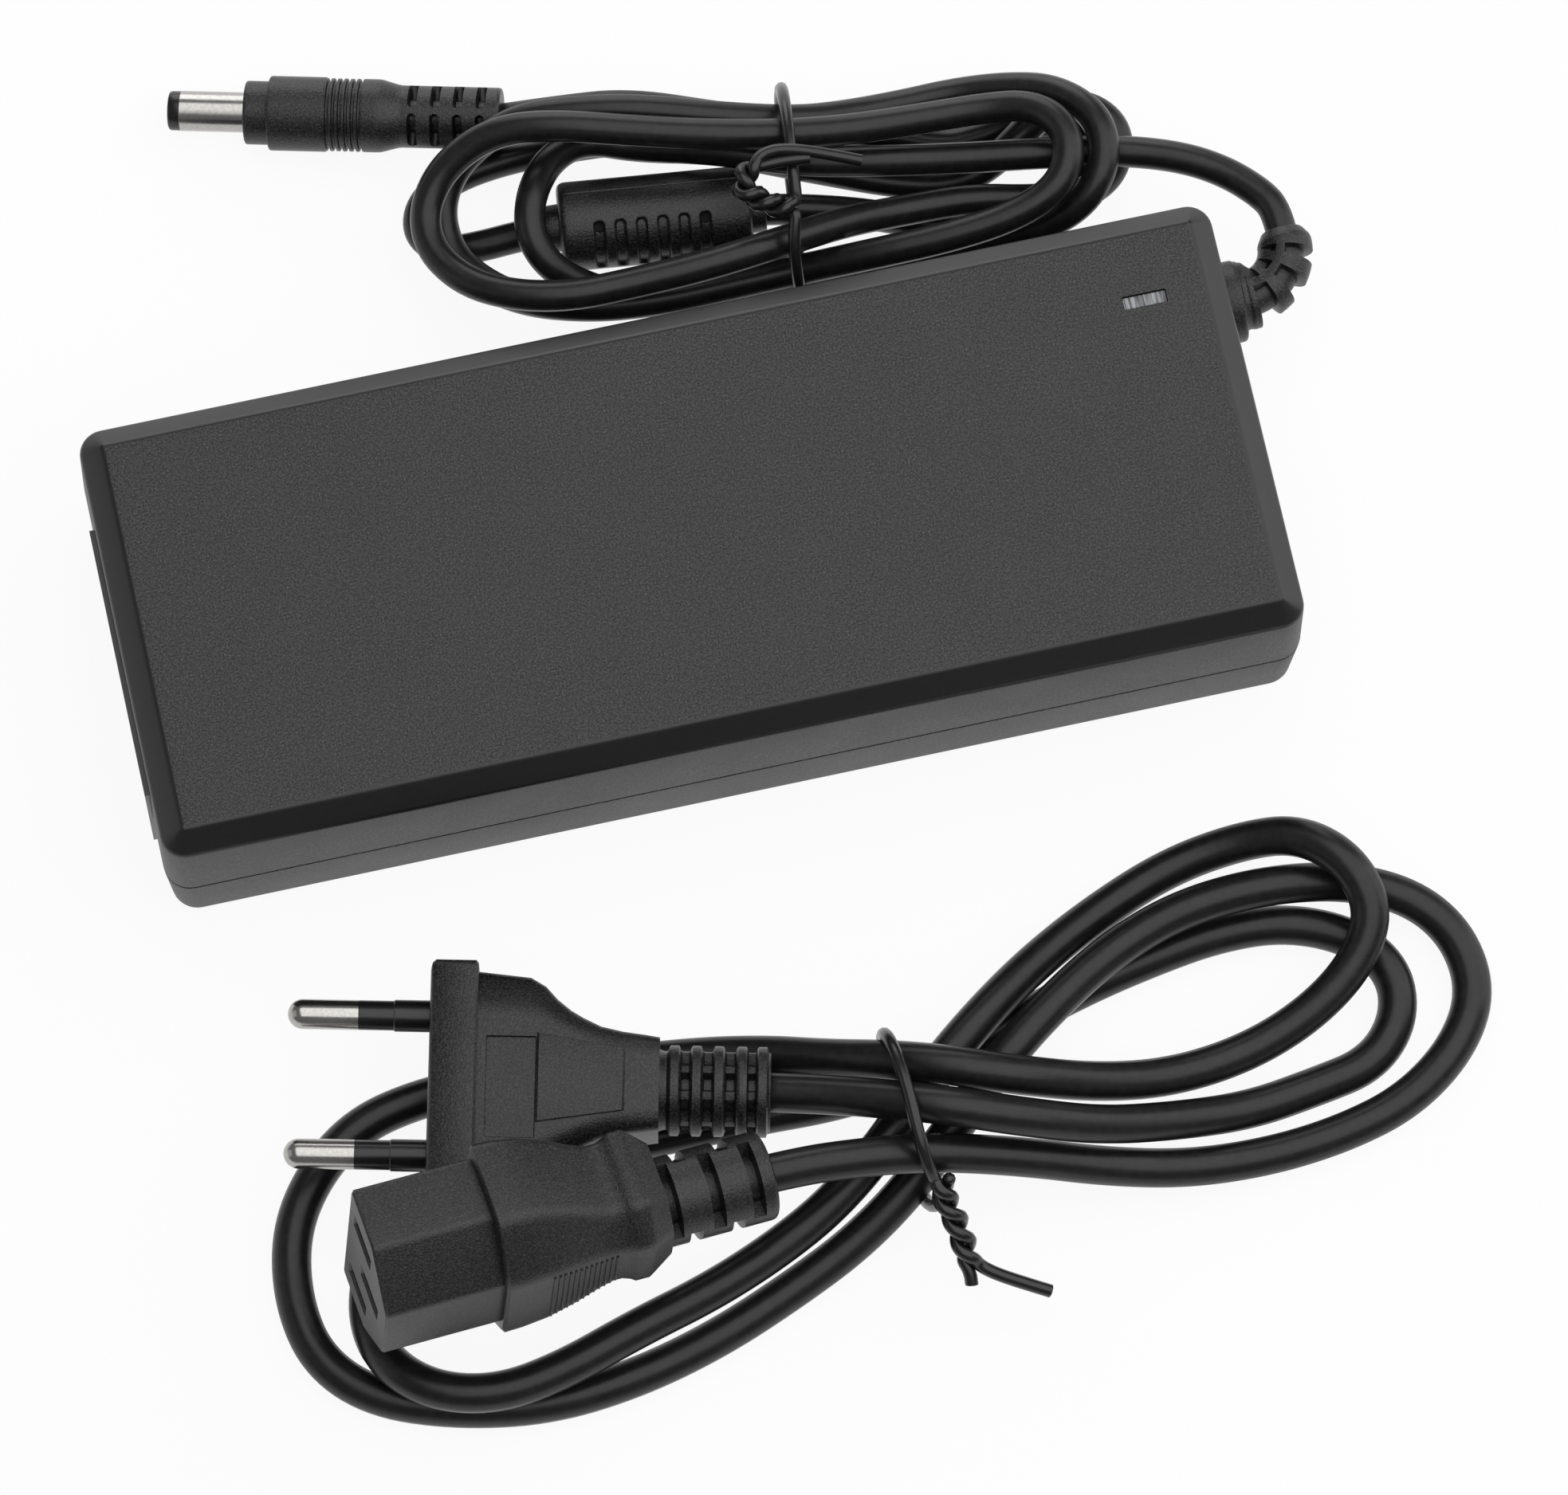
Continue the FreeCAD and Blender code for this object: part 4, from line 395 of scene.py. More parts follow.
lamps = {
    # name: place m, aimed at m, size m, watts
    "overhead": ((0.3, -0.02, 1.1), (0, 0, 0), 1.6, 12.6),
    "rightSide": ((1.1, 0.15, 0.38), (0, 0, 0.02), 0.8, 3.0),
    "leftSide": ((-1.1, 0.1, 0.38), (0, 0, 0.02), 0.8, 0.8),
    "backSide": ((0.1, 1.2, 0.35), (0, 0, 0.02), 0.8, 4.2),
}
ground = {"half": 3.0, "tone": 0.95, "roughness": 0.9, "plainWhite": 0.92}  # m, then shares
sky = {"lights": 0.2, "seen": 1.0}  # strength as a light and as the camera meets it


def makeLamps():
    for name, (place, aim, size, power) in lamps.items():
        data = bpy.data.lights.new(name, "AREA")
        data.size = size
        data.energy = power
        lamp = addObject(name, data)
        lamp.location = place
        lamp.rotation_euler = (Vector(aim) - Vector(place)).to_track_quat("-Z", "Y").to_euler()


def whiteForViewer(material, shader, share):
    # camera, glossy and see-through rays meet plain white mixed with the lit floor, other rays the lit floor
    tree = material.node_tree
    path = addNode(tree, "LightPath")
    seen = 0.0
    for kind in ("Is Camera Ray", "Is Glossy Ray", "Is Transmission Ray"):
        most = addNode(tree, "Math")
        most.operation = "MAXIMUM"
        feed(tree, most.inputs[0], path.outputs[kind])
        feed(tree, most.inputs[1], seen)
        seen = most.outputs[0]
    scale = addNode(tree, "Math")
    scale.operation = "MULTIPLY"
    feed(tree, scale.inputs[0], seen)
    feed(tree, scale.inputs[1], share)
    mix = addNode(tree, "MixShader", Fac=scale.outputs[0])
    feed(tree, mix.inputs[1], shader.outputs[0])
    feed(tree, mix.inputs[2], addNode(tree, "Emission").outputs[0])
    feed(tree, tree.nodes["Material Output"].inputs["Surface"], mix.outputs[0])


def makeFloor():
    half = ground["half"]
    mesh = bpy.data.meshes.new("floor")
    corners = [(-half, -half, 0), (half, -half, 0), (half, half, 0), (-half, half, 0)]
    mesh.from_pydata(corners, [], [(0, 1, 2, 3)])
    floor = addObject("floor", mesh)
    material, shader = shaderMaterial("floorWhite", [ground["tone"]] * 3, ground["roughness"])
    whiteForViewer(material, shader, ground["plainWhite"])
    mesh.materials.append(material)


def makeWorld():
    world = bpy.data.worlds.new("studio")
    world.use_nodes = True
    tree = world.node_tree
    background = tree.nodes["Background"]
    seen = addNode(tree, "LightPath").outputs["Is Camera Ray"]
    level = addNode(tree, "MapRange", Value=seen, To_Min=sky["lights"], To_Max=sky["seen"])
    feed(tree, background.inputs["Strength"], level.outputs["Result"])
    background.inputs["Color"].default_value = (1, 1, 1, 1)
    bpy.context.scene.world = world


makeCamera()
makeLamps()
makeFloor()
makeWorld()
bpy.context.scene.view_settings.view_transform = "Standard"
print("camera, lamps and floor made")


# Carved skins

def between(value, low, high, soft):
    # 1 between low and high, 0 outside, with a ramp of width soft at both ends
    return np.clip((value - low) / soft + 0.5, 0, 1) * np.clip((high - value) / soft + 0.5, 0, 1)


def within(value, pairs, soft):
    # the same for several pairs of low and high
    return sum(between(value, low, high, soft) for low, high in pairs)


def bothSides(middles, half):
    return [(middle - half, middle + half) for middle in middles]


def gridLines(low, high, count, edges, soft=0.1):
    # even lines from low to high, and close pairs of lines at every edge that has to stay crisp
    edges = np.ravel(edges).astype(float)
    lines = np.concatenate([np.linspace(low, high, count), edges - soft / 2, edges + soft / 2])
    lines = np.unique(np.clip(lines, low, high).round(4))
    return lines[np.r_[True, np.diff(lines) > 0.002]]


def stationLines(low, high, count, edges, soft, *more):
    return np.unique(np.concatenate([gridLines(low, high, count, edges, soft), *more]))


def carvedTube(stations, angles, radius, warp=None):
    # point = (x, r cos t, r sin t) with r a function of the place x and the angle t
    x, t = np.meshgrid(stations, angles, indexing="ij")
    r = radius(x, t)
    points = np.stack([x, r * np.cos(t), r * np.sin(t)], axis=-1)
    return tubeParts(warp(points) if warp else points)


def roundAngles(edges):
    # angles round a tube, with close pairs of lines at the edges of what is carved
    return gridLines(0, fullTurn - 0.06, 72, edges, 0.06)


def fromSide(t, side):
    # angle between direction t and a side, 0 to pi
    return np.abs((t - side + np.pi) % fullTurn - np.pi)


def facing(t, sides, half):
    # 1 where direction t is less than half away from one of the sides
    return sum(between(fromSide(t, side), -1, half, 0.06) for side in sides)


def sleeveProfile(start, end, outer, inner, edge):
    return [(start, inner), (start, outer - edge), (start + edge, outer), (end - edge, outer),
            (end, outer - edge), (end, inner)]


def outlinePoints(halfLength, halfWidth, radius, steps=9):
    # rounded rectangle: a quarter circle at each corner
    angle = np.linspace(0, np.pi / 2, steps)
    points = []
    for quarter, (sx, sy) in enumerate(((1, 1), (-1, 1), (-1, -1), (1, -1))):
        turn = angle + quarter * np.pi / 2
        points.append(np.stack([sx * (halfLength - radius) + radius * np.cos(turn),
                                sy * (halfWidth - radius) + radius * np.sin(turn)], axis=-1))
    return np.vstack(points)


def rectangle(wide, tall):
    return np.array([(wide, tall), (-wide, tall), (-wide, -tall), (wide, -tall)], float)


def boxPart(low, high, edge):
    # block with rounded upright corners and eased rims
    low, high = np.array(low, float), np.array(high, float)
    half, middle = (high - low) / 2, (high + low) / 2
    rings = []
    for inset, z in ((edge, low[2]), (0, low[2] + edge), (0, high[2] - edge), (edge, high[2])):
        ring = outlinePoints(half[0] - inset, half[1] - inset, max(0.05, 1.5 * edge - inset), 4)
        rings.append(lyingRing(ring + middle[:2], z))
    return tubeParts(rings)


# Brick shells

brick = {
    "length": 155.0, "width": 60.8, "corner": 3.6,  # mm, as are the lengths below
    "window": (65.7, 17.5, 6.0, 1.9), "windowCut": (26, 34),  # x, y, length, width, and the cut's heights
    "gland": (20.0, 14.5, 4.25), "glandCut": (70, 14),  # y, z, radius, and the cut's start and length along x
    "bezel": (-1.2, 15.0, 37.7, 22.3), "bezelCut": (-82, -74.1),  # y, z, width, height, and the cut along x
    # inset, height, corner radius
    "upperInner": [(4.7, 29.4, 1.2), (2.7, 28.0, 1.2), (2.4, 16.05, 1.2), (1.25, 16.05, 2.35),
                   (1.25, 14.7, 2.35)],
    "lowerInner": [(3.05, 2.2, 1.2), (2.4, 15.9, 1.2), (1.4, 15.9, 2.2), (1.4, 14.5, 2.2)],
    # inset, height, rounding
    "upperOuter": [(1.25, 14.5, 0), (0, 14.5, 0.15), (0.3, 28.8, 0.55), (3.4, 31.7, 0.55), (5.4, 31.7, 0)],
    "lowerOuter": [(1.4, 14.0, 0), (0.02, 14.0, 0.1), (0.7, 0, 1.9), (6, 0, 0)],
    "upperShrink": 0.94, "lowerShrink": 0.4,  # fall of the corner radius per mm of inset
    "postX": (-53.3, 69.9), "postY": (-23.5, 23.5), "postFoot": 2.0, "postRadius": 2.2, "postHeight": 4.6,
    "rimFrom": 28.3, "rimTilt": (0.12, 0.985), "sharpAngle": 30,  # mm, upward share of the normal, degrees
}


def shellPart(inner, outer, shrink):
    # the profiles carried round the outline, inside first
    outside = [(inset, z, max(0.3, brick["corner"] - shrink * inset)) for inset, z in roundedProfile(outer)]
    rings = []
    for inset, z, radius in [*inner, *outside]:
        ring = outlinePoints(brick["length"] / 2 - inset, brick["width"] / 2 - inset, radius)
        rings.append(lyingRing(ring, z))
    return tubeParts(rings)


def shellCutters():
    x, y, long, wide = brick["window"]
    low, high = brick["windowCut"]
    window = boxPart((x - long / 2, y - wide / 2, low), (x + long / 2, y + wide / 2, high), 0.15)
    y, z, radius = brick["gland"]
    start, depth = brick["glandCut"]
    gland = placed(lathe([(0, radius), (depth, radius)]), ((start, y, z), np.eye(3)))
    y, z, wide, tall = brick["bezel"]
    outer, inner = brick["bezelCut"]
    bezel = boxPart((outer, y - wide / 2, z - tall / 2), (inner, y + wide / 2, z + tall / 2), 0.2)
    return [newPiece("cutWindow", *window), newPiece("cutGland", *gland), newPiece("cutBezel", *bezel)]


def finishShell(shell):
    # smooth finish on the sloping rim, grain everywhere else
    mesh = shell.data
    mesh.materials.clear()
    mesh.materials.append(looks["coverGrain"])
    mesh.materials.append(looks["coverRim"])
    count = len(mesh.polygons)
    centre, normal = np.empty(count * 3), np.empty(count * 3)
    mesh.polygons.foreach_get("center", centre)
    mesh.polygons.foreach_get("normal", normal)
    centre, normal = centre.reshape(-1, 3), normal.reshape(-1, 3)
    low, high = brick["rimTilt"]
    rim = (centre[:, 2] > brick["rimFrom"] * mm) & (normal[:, 2] > low) & (normal[:, 2] < high)
    mesh.polygons.foreach_set("material_index", rim.astype(np.int32))
    mesh.shade_smooth()
    mesh.set_sharp_from_angle(angle=math.radians(brick["sharpAngle"]))


def makeShells():
    upper = newPiece("upperCover", *shellPart(brick["upperInner"], brick["upperOuter"], brick["upperShrink"]))
    lower = newPiece("lowerCover", *shellPart(brick["lowerInner"], brick["lowerOuter"], brick["lowerShrink"]))
    upright = np.array([[0, 0, 1.0], [0, 1.0, 0], [-1.0, 0, 0]])
    post = lathe([(0, brick["postRadius"]), (brick["postHeight"], brick["postRadius"])], 24)
    feet = [(x, y, brick["postFoot"]) for x in brick["postX"] for y in brick["postY"]]
    posts = [placed(post, (foot, upright)) for foot in feet]
    cutters = shellCutters()
    cutAway(upper, cutters)
    cutAway(lower, cutters[1:])
    removeAll(cutters)
    standing = newPiece("lowerPosts", *joinParts(posts))
    for shell, node in ((upper, "upper_cover"), (lower, "lower_cover")):
        finishShell(shell)
        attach(shell, "adapter")
        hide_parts(node)
    finishPiece(standing, "adapter", "cover_black")


makeShells()
print("brick shells made")


lightWindow = {
    "inset": 0.12, "foot": 17.4, "top": 31.4, "round": 0.15, "stations": 97,
    "ridges": ((0.05, 0.62, 0), (0.04, 0.37, 1)),  # mm high, mm apart, phase
}


def makeWindow():
    # bar along x whose top carries fine cross ridges
    size = lightWindow
    x, y, long, wide = brick["window"]
    half, reach = wide / 2 - size["inset"], long / 2 - size["inset"]
    stations = np.linspace(x - reach, x + reach, size["stations"])
    top = size["top"] + sum(high * np.cos(fullTurn * (stations - x) / apart + phase)
                            for high, apart, phase in size["ridges"])
    rings = []
    for place, high in zip(stations, top):
        corners = [(-half, size["foot"]), (half, size["foot"]), (half, high), (-half, high)]
        rings.append(standingRing(roundedPolygon(corners, size["round"], 3) + (y, 0), place))
    window = newPiece("lightWindow", *tubeParts(rings), sharpAngle=50)
    finishPiece(window, "adapter", "lamp_window", "led_window")


makeWindow()


# Bend relief at the DC gland

bendRelief = {
    "start": 77.5, "side": 20.0, "height": 14.5, "straight": 3.5, "bend": 6.9, "tip": 1.5,
    "flange": 5.6, "flangeLength": 2.7, "neck": 4.1, "firstRib": 4.25, "rib": 3.75, "core": 2.5,
    # mm from the wall, radius, rounding: the part inside the wall
    "inside": [(-5.1, 3.0, 0), (-5.1, 5.2, 0), (-2.8, 5.2, 0), (-2.8, 4.0, 0), (-0.05, 4.0, 0)],
    "fill": ((-0.5, 0), (0.1, 1.2), (1.6, 0.75), (3.4, 0)),  # mm past the flange, mm added inside the bend
    "spine": 1.4, "spineSide": 77,  # mm wide, degrees round the tube
    "closed": 0.5,  # radians each side of the inner line where the slots stop
    "slots": ((8, 24), (37.5, 52), (68, 78)),  # degrees round the bend
}


def bendWarp(points):
    # straight along x, a quarter turn towards +y, then straight along y
    s, y, z = points[..., 0], points[..., 1], points[..., 2]
    bend, straight = bendRelief["bend"], bendRelief["straight"]
    turn = np.clip((s - straight) / bend, 0, np.pi / 2)
    before = np.minimum(s - straight, 0)
    after = np.maximum(s - straight - bend * np.pi / 2, 0)
    x = bendRelief["start"] + straight + before + (bend - y) * np.sin(turn)
    back = bendRelief["side"] + bend - (bend - y) * np.cos(turn) + after
    return np.stack([x, back, bendRelief["height"] + z], axis=-1)


def makeBendRelief():
    size = bendRelief
    end = size["straight"] + size["bend"] * np.pi / 2 + size["tip"]
    flange, neck, firstRib, rib = [size[key] for key in ("flangeLength", "neck", "firstRib", "rib")]
    turned = end - size["tip"]
    profile = roundedProfile([
        *size["inside"], (-0.05, size["flange"], 0.3), (flange, size["flange"], 0.8),
        (flange + 0.1, neck + 0.15, 0.4), (flange + 0.8, neck, 0.3), (flange + 1.1, firstRib, 0.2),
        (flange + 1.8, firstRib, 0.2), (flange + 3.6, rib, 0.3), (turned, rib, 0.5), (end, rib - 0.95, 0.4),
        (end, 2.2, 0)])
    place = risingPlaces(profile)
    straight, bend = size["straight"], size["bend"]
    slots = [[straight + bend * math.radians(turn) for turn in pair] for pair in size["slots"]]
    past, added = np.array(size["fill"]).T
    half = math.asin(size["spine"] / 2 / size["rib"])
    sides = (math.radians(size["spineSide"]), math.radians(360 - size["spineSide"]))

    def radius(x, t):
        # the profile, filled out inside the bend next to the flange, less the slots between the spines
        inside = np.clip(np.cos(t), 0, 1)
        fill = np.interp(x, flange + past, added)
        plain = np.interp(x, place, profile[:, 1])
        base = np.maximum(plain, np.minimum(plain + fill * inside, size["flange"] - 0.25))
        slot = within(x, slots, 0.16)
        spine = facing(t, sides, half)
        spine = np.maximum(spine, between(fromSide(t, 0), -1, size["closed"], 0.1))
        return base - (base - size["core"]) * slot * (1 - spine)

    stations = stationLines(-5.1, end, 90, slots, 0.16, place)
    angles = roundAngles(bothSides(sides, half))
    relief = newPiece("bendRelief", *carvedTube(stations, angles, radius, bendWarp), sharpAngle=40)
    return finishPiece(relief, "adapter", "plug_black", "dc_bend_relief")


bendPiece = makeBendRelief()
print("bend relief made")


# Barrel plug

barrelPlug = {
    "tip": (-55.5, 81.0, 4.2), "end": (-11.5, 69, 7.5), "ring": 1.6, "barrel": 2.75, "bore": 2.45,
    "collar": (10.6, 4.35), "grip": (13.9, 5.1),  # mm from the tip, radius
    "rings": (21.7, 27.0, 6, 0.45), "rear": (29.2, 31.5),  # first, last, count, depth, and the taper behind
    "relief": 4.25, "core": 2.4, "slots": (33.8, 36.9, 40.0, 43.1), "slot": 1.1,
    "spine": 1.2, "spineSide": 97.5, "reach": 5.2,  # mm wide, degrees round, mm round to a slot's end
}


def makeBarrelPlug():
    size = barrelPlug
    pose = lyingAxes(size["tip"], size["end"])
    length = spanOf(size["tip"], size["end"])
    collar, collarRadius = size["collar"]
    grip, gripRadius = size["grip"]
    first, last, count, depth = size["rings"]
    rear, taper = size["rear"]
    profile = roundedProfile([
        (collar, 2.9, 0), (collar, collarRadius, 0.35), (grip, collarRadius, 0.1), (grip, gripRadius, 0.6),
        (first - 0.05, gripRadius, 0.2), (first, gripRadius - 0.1, 0), (last, gripRadius - 0.1, 0),
        (rear, gripRadius - 0.1, 0.5), (taper, size["relief"] + 0.1, 0.5), (taper + 0.6, size["relief"], 0.1),
        (length, size["relief"], 0.5), (length, 2.2, 0)])
    place = risingPlaces(profile)
    pitch = (last - first) / count
    grooves = [(first + (k + 0.28) * pitch, first + (k + 0.72) * pitch) for k in range(count)]
    sides = (math.radians(size["spineSide"]), math.radians(size["spineSide"] + 180))
    near = (size["spine"] + size["slot"]) / 2

    def radius(x, t):
        base = np.interp(x, place, profile[:, 1])
        base = base - depth * within(x, grooves, 0.14)
        along = size["relief"] * np.minimum(fromSide(t, sides[0]), fromSide(t, sides[1]))
        beyond = np.maximum(near - along, 0) + np.maximum(along - size["reach"], 0)
        away = np.min([np.hypot(x - middle, beyond) for middle in size["slots"]], axis=0)
        slot = np.clip((size["slot"] / 2 - away) / 0.12 + 0.5, 0, 1)
        return base - (base - size["core"]) * slot

    fine = np.arange(size["slots"][0] - 0.8, size["slots"][-1] + 0.8, 0.12)
    stations = stationLines(collar, length, 60, grooves, 0.12, fine, place)
    stations = stations[np.r_[True, np.diff(stations) > 1e-6]]
    angles = np.linspace(0, fullTurn, 150, endpoint=False)
    body = newPiece("plugBody", *placed(carvedTube(stations, angles, radius), pose), sharpAngle=40)
    tube = sleeveProfile(size["ring"], collar + 5, size["barrel"], size["bore"], 0.08)
    barrel = newPiece("plugBarrel", *placed(closedLathe(tube), pose))
    outer, inner, width = size["barrel"] - 0.05, 1.3, size["ring"]
    rim = [(0, inner), (0, outer - 0.4), (0.12, outer - 0.15), (0.4, outer), (width, outer), (width, inner)]
    ring = newPiece("plugTipRing", *placed(closedLathe(rim), pose))
    return [finishPiece(body, "adapter", "plug_black", "dc_plug_body"),
            finishPiece(barrel, "adapter", "nickel", "dc_plug_barrel"),
            finishPiece(ring, "adapter", "tip_black", "dc_plug_tip_ring")]


plugPieces = makeBarrelPlug()
print("barrel plug made")


# Choke on the DC cord

choke = {
    "start": (-7, 52.5, 6.1), "end": (19, 49.5, 6.1), "radius": 6.1, "round": 1.8,
    "boot": 3.1, "bootLength": 2.0,
    "slots": (5.3, 8.2, 11.1, 14.0, 16.9, 19.8), "slot": 1.35, "depth": 0.55,
    "hole": 0.65, "holeDepth": 3.3,  # a round hole at one end of the first and last slots
    "side": 112, "sweep": 66,  # degrees round the body where a slot starts, and its length
    "seamSide": 62, "seamDepth": 0.12,  # degrees, mm
}


def makeChoke():
    size = choke
    pose = lyingAxes(size["start"], size["end"])
    length = spanOf(size["start"], size["end"])
    full, boot, reach = size["radius"], size["boot"], size["bootLength"]
    profile = roundedProfile([
        (-reach, 2.2, 0), (-reach, boot, 0.3), (0, boot + 0.15, 0.1), (0, full, size["round"]),
        (length, full, size["round"]), (length, boot + 0.15, 0.1), (length + reach, boot, 0.3),
        (length + reach, 2.2, 0)], 7)
    place = risingPlaces(profile)
    low = math.radians(size["side"])
    high = low + math.radians(size["sweep"])
    seamSide = math.radians(size["seamSide"])

    def slotDepth(x, t):
        # distance from a short arc across the body, in mm, turned into a groove with round ends
        lowest, nearest = np.full(x.shape, 1e3), np.full(x.shape, 1e3)
        for turn in (0, np.pi):
            angle = (t - turn) % fullTurn
            beyond = full * (np.maximum(low - angle, 0) + np.maximum(angle - high, 0))
            for middle in size["slots"]:
                lowest = np.minimum(lowest, np.hypot(x - middle, beyond))
            for middle in (size["slots"][0], size["slots"][-1]):
                nearest = np.minimum(nearest, np.hypot(x - middle, full * (angle - low - 0.03)))
        pocket = size["depth"] * np.clip((size["slot"] / 2 - lowest) / 0.3 + 0.5, 0, 1)
        hole = size["holeDepth"] * np.clip((size["hole"] - nearest) / 0.15 + 0.5, 0, 1)
        return np.maximum(pocket, hole)

    def radius(x, t):
        seam = size["seamDepth"] * between(fromSide(t, seamSide), -1, 0.02, 0.02)
        return np.interp(x, place, profile[:, 1]) - slotDepth(x, t) - seam * between(x, 1, length - 1, 0.3)

    fine = np.arange(size["slots"][0] - 1.2, size["slots"][-1] + 1.2, 0.13)
    stations = stationLines(-reach, length + reach, 40, [], 0.1, fine, place)
    fineAngles = np.concatenate([np.arange(low - 0.25, high + 0.25, 0.03) + turn for turn in (0, np.pi)])
    angles = np.concatenate([np.arange(0, fullTurn - 0.04, 0.1), fineAngles % fullTurn,
                             seamSide + np.array([-0.03, -0.015, 0, 0.015, 0.03])])
    angles = np.unique(angles.round(3))
    angles = angles[np.r_[True, np.diff(angles) > 0.008]]
    angles = angles[angles < fullTurn - 0.01]
    housing = newPiece("chokeHousing", *placed(carvedTube(stations, angles, radius), pose), sharpAngle=45)
    return finishPiece(housing, "adapter", "plug_black", "choke_housing")


chokePiece = makeChoke()
print("choke made")


# Mains plug

mainsPlug = {
    "face": (-49.1, -63.1, 12.5), "end": (-5.5, -73.5, 12.5),
    "plate": (6.3, 15.8, 6.85),  # thickness, half width, half height
    # along, half width, half width of the flat top, half height at the middle and at the edge
    "body": ((5.8, 15.1, 9.6, 6.0, 3.4), (6.4, 15.1, 9.6, 6.0, 3.4), (13.2, 14.4, 9.2, 6.0, 3.5),
             (15.2, 13.2, 8.6, 6.0, 3.6), (16.8, 11.4, 7.8, 6.0, 3.8), (18.6, 9.9, 7.0, 6.0, 4.0),
             (20.2, 8.9, 6.3, 6.0, 4.2), (22.6, 7.7, 5.4, 6.0, 4.4), (25.5, 7.0, 4.7, 6.0, 4.6),
             (28.5, 6.6, 4.2, 6.0, 4.7), (30.4, 6.3, 3.9, 5.9, 4.7)),
    "pin": 2.0, "pinLength": 19.0, "bare": 9.4, "spacing": 19.0, "neckStart": 29.5,
    "panel": ((7.5, 14.2), (-8.2, 5.6), 5.65),  # along, across, height of its floor
    # along, half width, top
    "boss": ((14.2, 6.2, 6.0), (14.5, 6.0, 6.35), (25.6, 4.3, 6.35), (25.9, 4.2, 6.0)),
    "bossFoot": 5.4,
    "ribs": (32.4, 35.3, 38.3, 41.3, 44.0), "rib": 1.5, "ribRadius": 6.0, "groove": 5.2, "core": 3.7,
    "spines": (20, 70, 110, 160, 200, 250, 290, 340), "spine": 0.13, "slot": 1.1,  # degrees, radians, mm
}


def seat(piece, pose, sharpAngle):
    # moves a finished mesh from its own frame to where it lies
    turn = Matrix(pose[1].T.tolist()).to_4x4()
    piece.data.transform(Matrix.Translation(Vector(pose[0]) * mm) @ turn)
    piece.data.shade_smooth()
    piece.data.set_sharp_from_angle(angle=math.radians(sharpAngle))


def makeMainsPlug():
    size = mainsPlug
    pose = lyingAxes(size["face"], size["end"])
    length = spanOf(size["face"], size["end"])
    thick, half, tall = size["plate"]
    plateRings = []
    for inset, x in ((1.0, 0), (0.35, 0.2), (0, 0.7), (0, thick - 0.3), (0.3, thick)):
        ring = roundedPolygon(rectangle(half - inset, tall - inset), 1.1, 5)
        plateRings.append(standingRing(ring, x))
    bodyRings = []
    for x, wide, flat, high, edge in size["body"]:
        corners = [(flat, high), (-flat, high), (-wide, edge), (-wide, -edge), (-flat, -high), (flat, -high),
                   (wide, -edge), (wide, edge)]
        bodyRings.append(standingRing(roundedPolygon(corners, 1.3, 5), x))
    start, end, groove = size["neckStart"], length + 0.3, size["groove"]
    profile = roundedProfile([(start, 5.0, 0), (start + 0.1, groove + 0.6, 0.2), (31.0, groove, 0.3),
                              (length, groove, 0), (end, groove, 0.4), (end, 2.8, 0)], 4)
    place = risingPlaces(profile)
    ribs = bothSides(size["ribs"], size["rib"] / 2)
    middles = [(before[1] + after[0]) / 2 for before, after in zip(ribs, ribs[1:])]
    slots = bothSides(middles, size["slot"] / 2)
    sides = [math.radians(angle) for angle in size["spines"]]
    spine = size["spine"]

    def radius(x, t):
        base = np.interp(x, place, profile[:, 1])
        rib, slot = within(x, ribs, 0.3), within(x, slots, 0.12)
        keep = np.clip(facing(t, sides, spine), 0, 1)
        return base + (size["ribRadius"] - groove) * rib - (base - size["core"]) * slot * (1 - keep)

    stations = stationLines(start, end, 60, slots + ribs, 0.16, place)
    angles = roundAngles(bothSides(sides, spine))
    boss = []
    for x, wide, high in size["boss"]:
        corners = [(wide, high), (-wide, high), (-wide, size["bossFoot"]), (wide, size["bossFoot"])]
        boss.append(standingRing(roundedPolygon(corners, 0.25, 3), x))
    parts = [tubeParts(plateRings), tubeParts(boss), carvedTube(stations, angles, radius)]
    block = newPiece("mainsPlugBlock", *tubeParts(bodyRings))
    along, across, low = size["panel"]
    panel = newPiece("cutPanel", *boxPart((along[0], across[0], low), (along[1], across[1], 8), 0.15))
    cutAway(block, [panel])
    removeAll([panel])
    seat(block, pose, 38)
    body = newPiece("mainsPlugBody", *placed(joinParts(parts), pose), sharpAngle=38)
    bare = size["bare"] - size["pinLength"]
    turns = np.linspace(0.02, np.pi / 2, 12)
    tip = np.c_[-size["pinLength"] + size["pin"] * (1 - np.cos(turns)), size["pin"] * np.sin(turns)]
    pin = np.vstack([tip, [(bare, size["pin"]), (bare, 1.5), (8, 1.5)]])
    covers = [sleeveProfile(bare, 0.4, size["pin"] - 0.02, 1.5, 0.08),
              sleeveProfile(-4.9, 0.5, size["pin"] + 0.13, 1.6, 0.1)]
    pins, sleeves = [], []
    for side in (-1, 1):
        axis = np.array([0, side * size["spacing"] / 2, 0])
        verts, faces = lathe(pin)
        pins.append((verts + axis, faces))
        for cover in covers:
            verts, faces = closedLathe(cover, 48)
            sleeves.append((verts + axis, faces))
    pinPiece = newPiece("mainsPlugPins", *placed(joinParts(pins), pose))
    sleevePiece = newPiece("mainsPlugSleeves", *placed(joinParts(sleeves), pose))
    return [finishPiece(body, "mains_lead", "plug_black", "mains_plug_body"),
            finishPiece(block, "mains_lead", "plug_black", "mains_plug_body"),
            finishPiece(pinPiece, "mains_lead", "nickel", "mains_plug_pins"),
            finishPiece(sleevePiece, "mains_lead", "tip_black", "mains_plug_sleeves")]


mainsPlugPieces = makeMainsPlug()
print("mains plug made")


# Mains connector

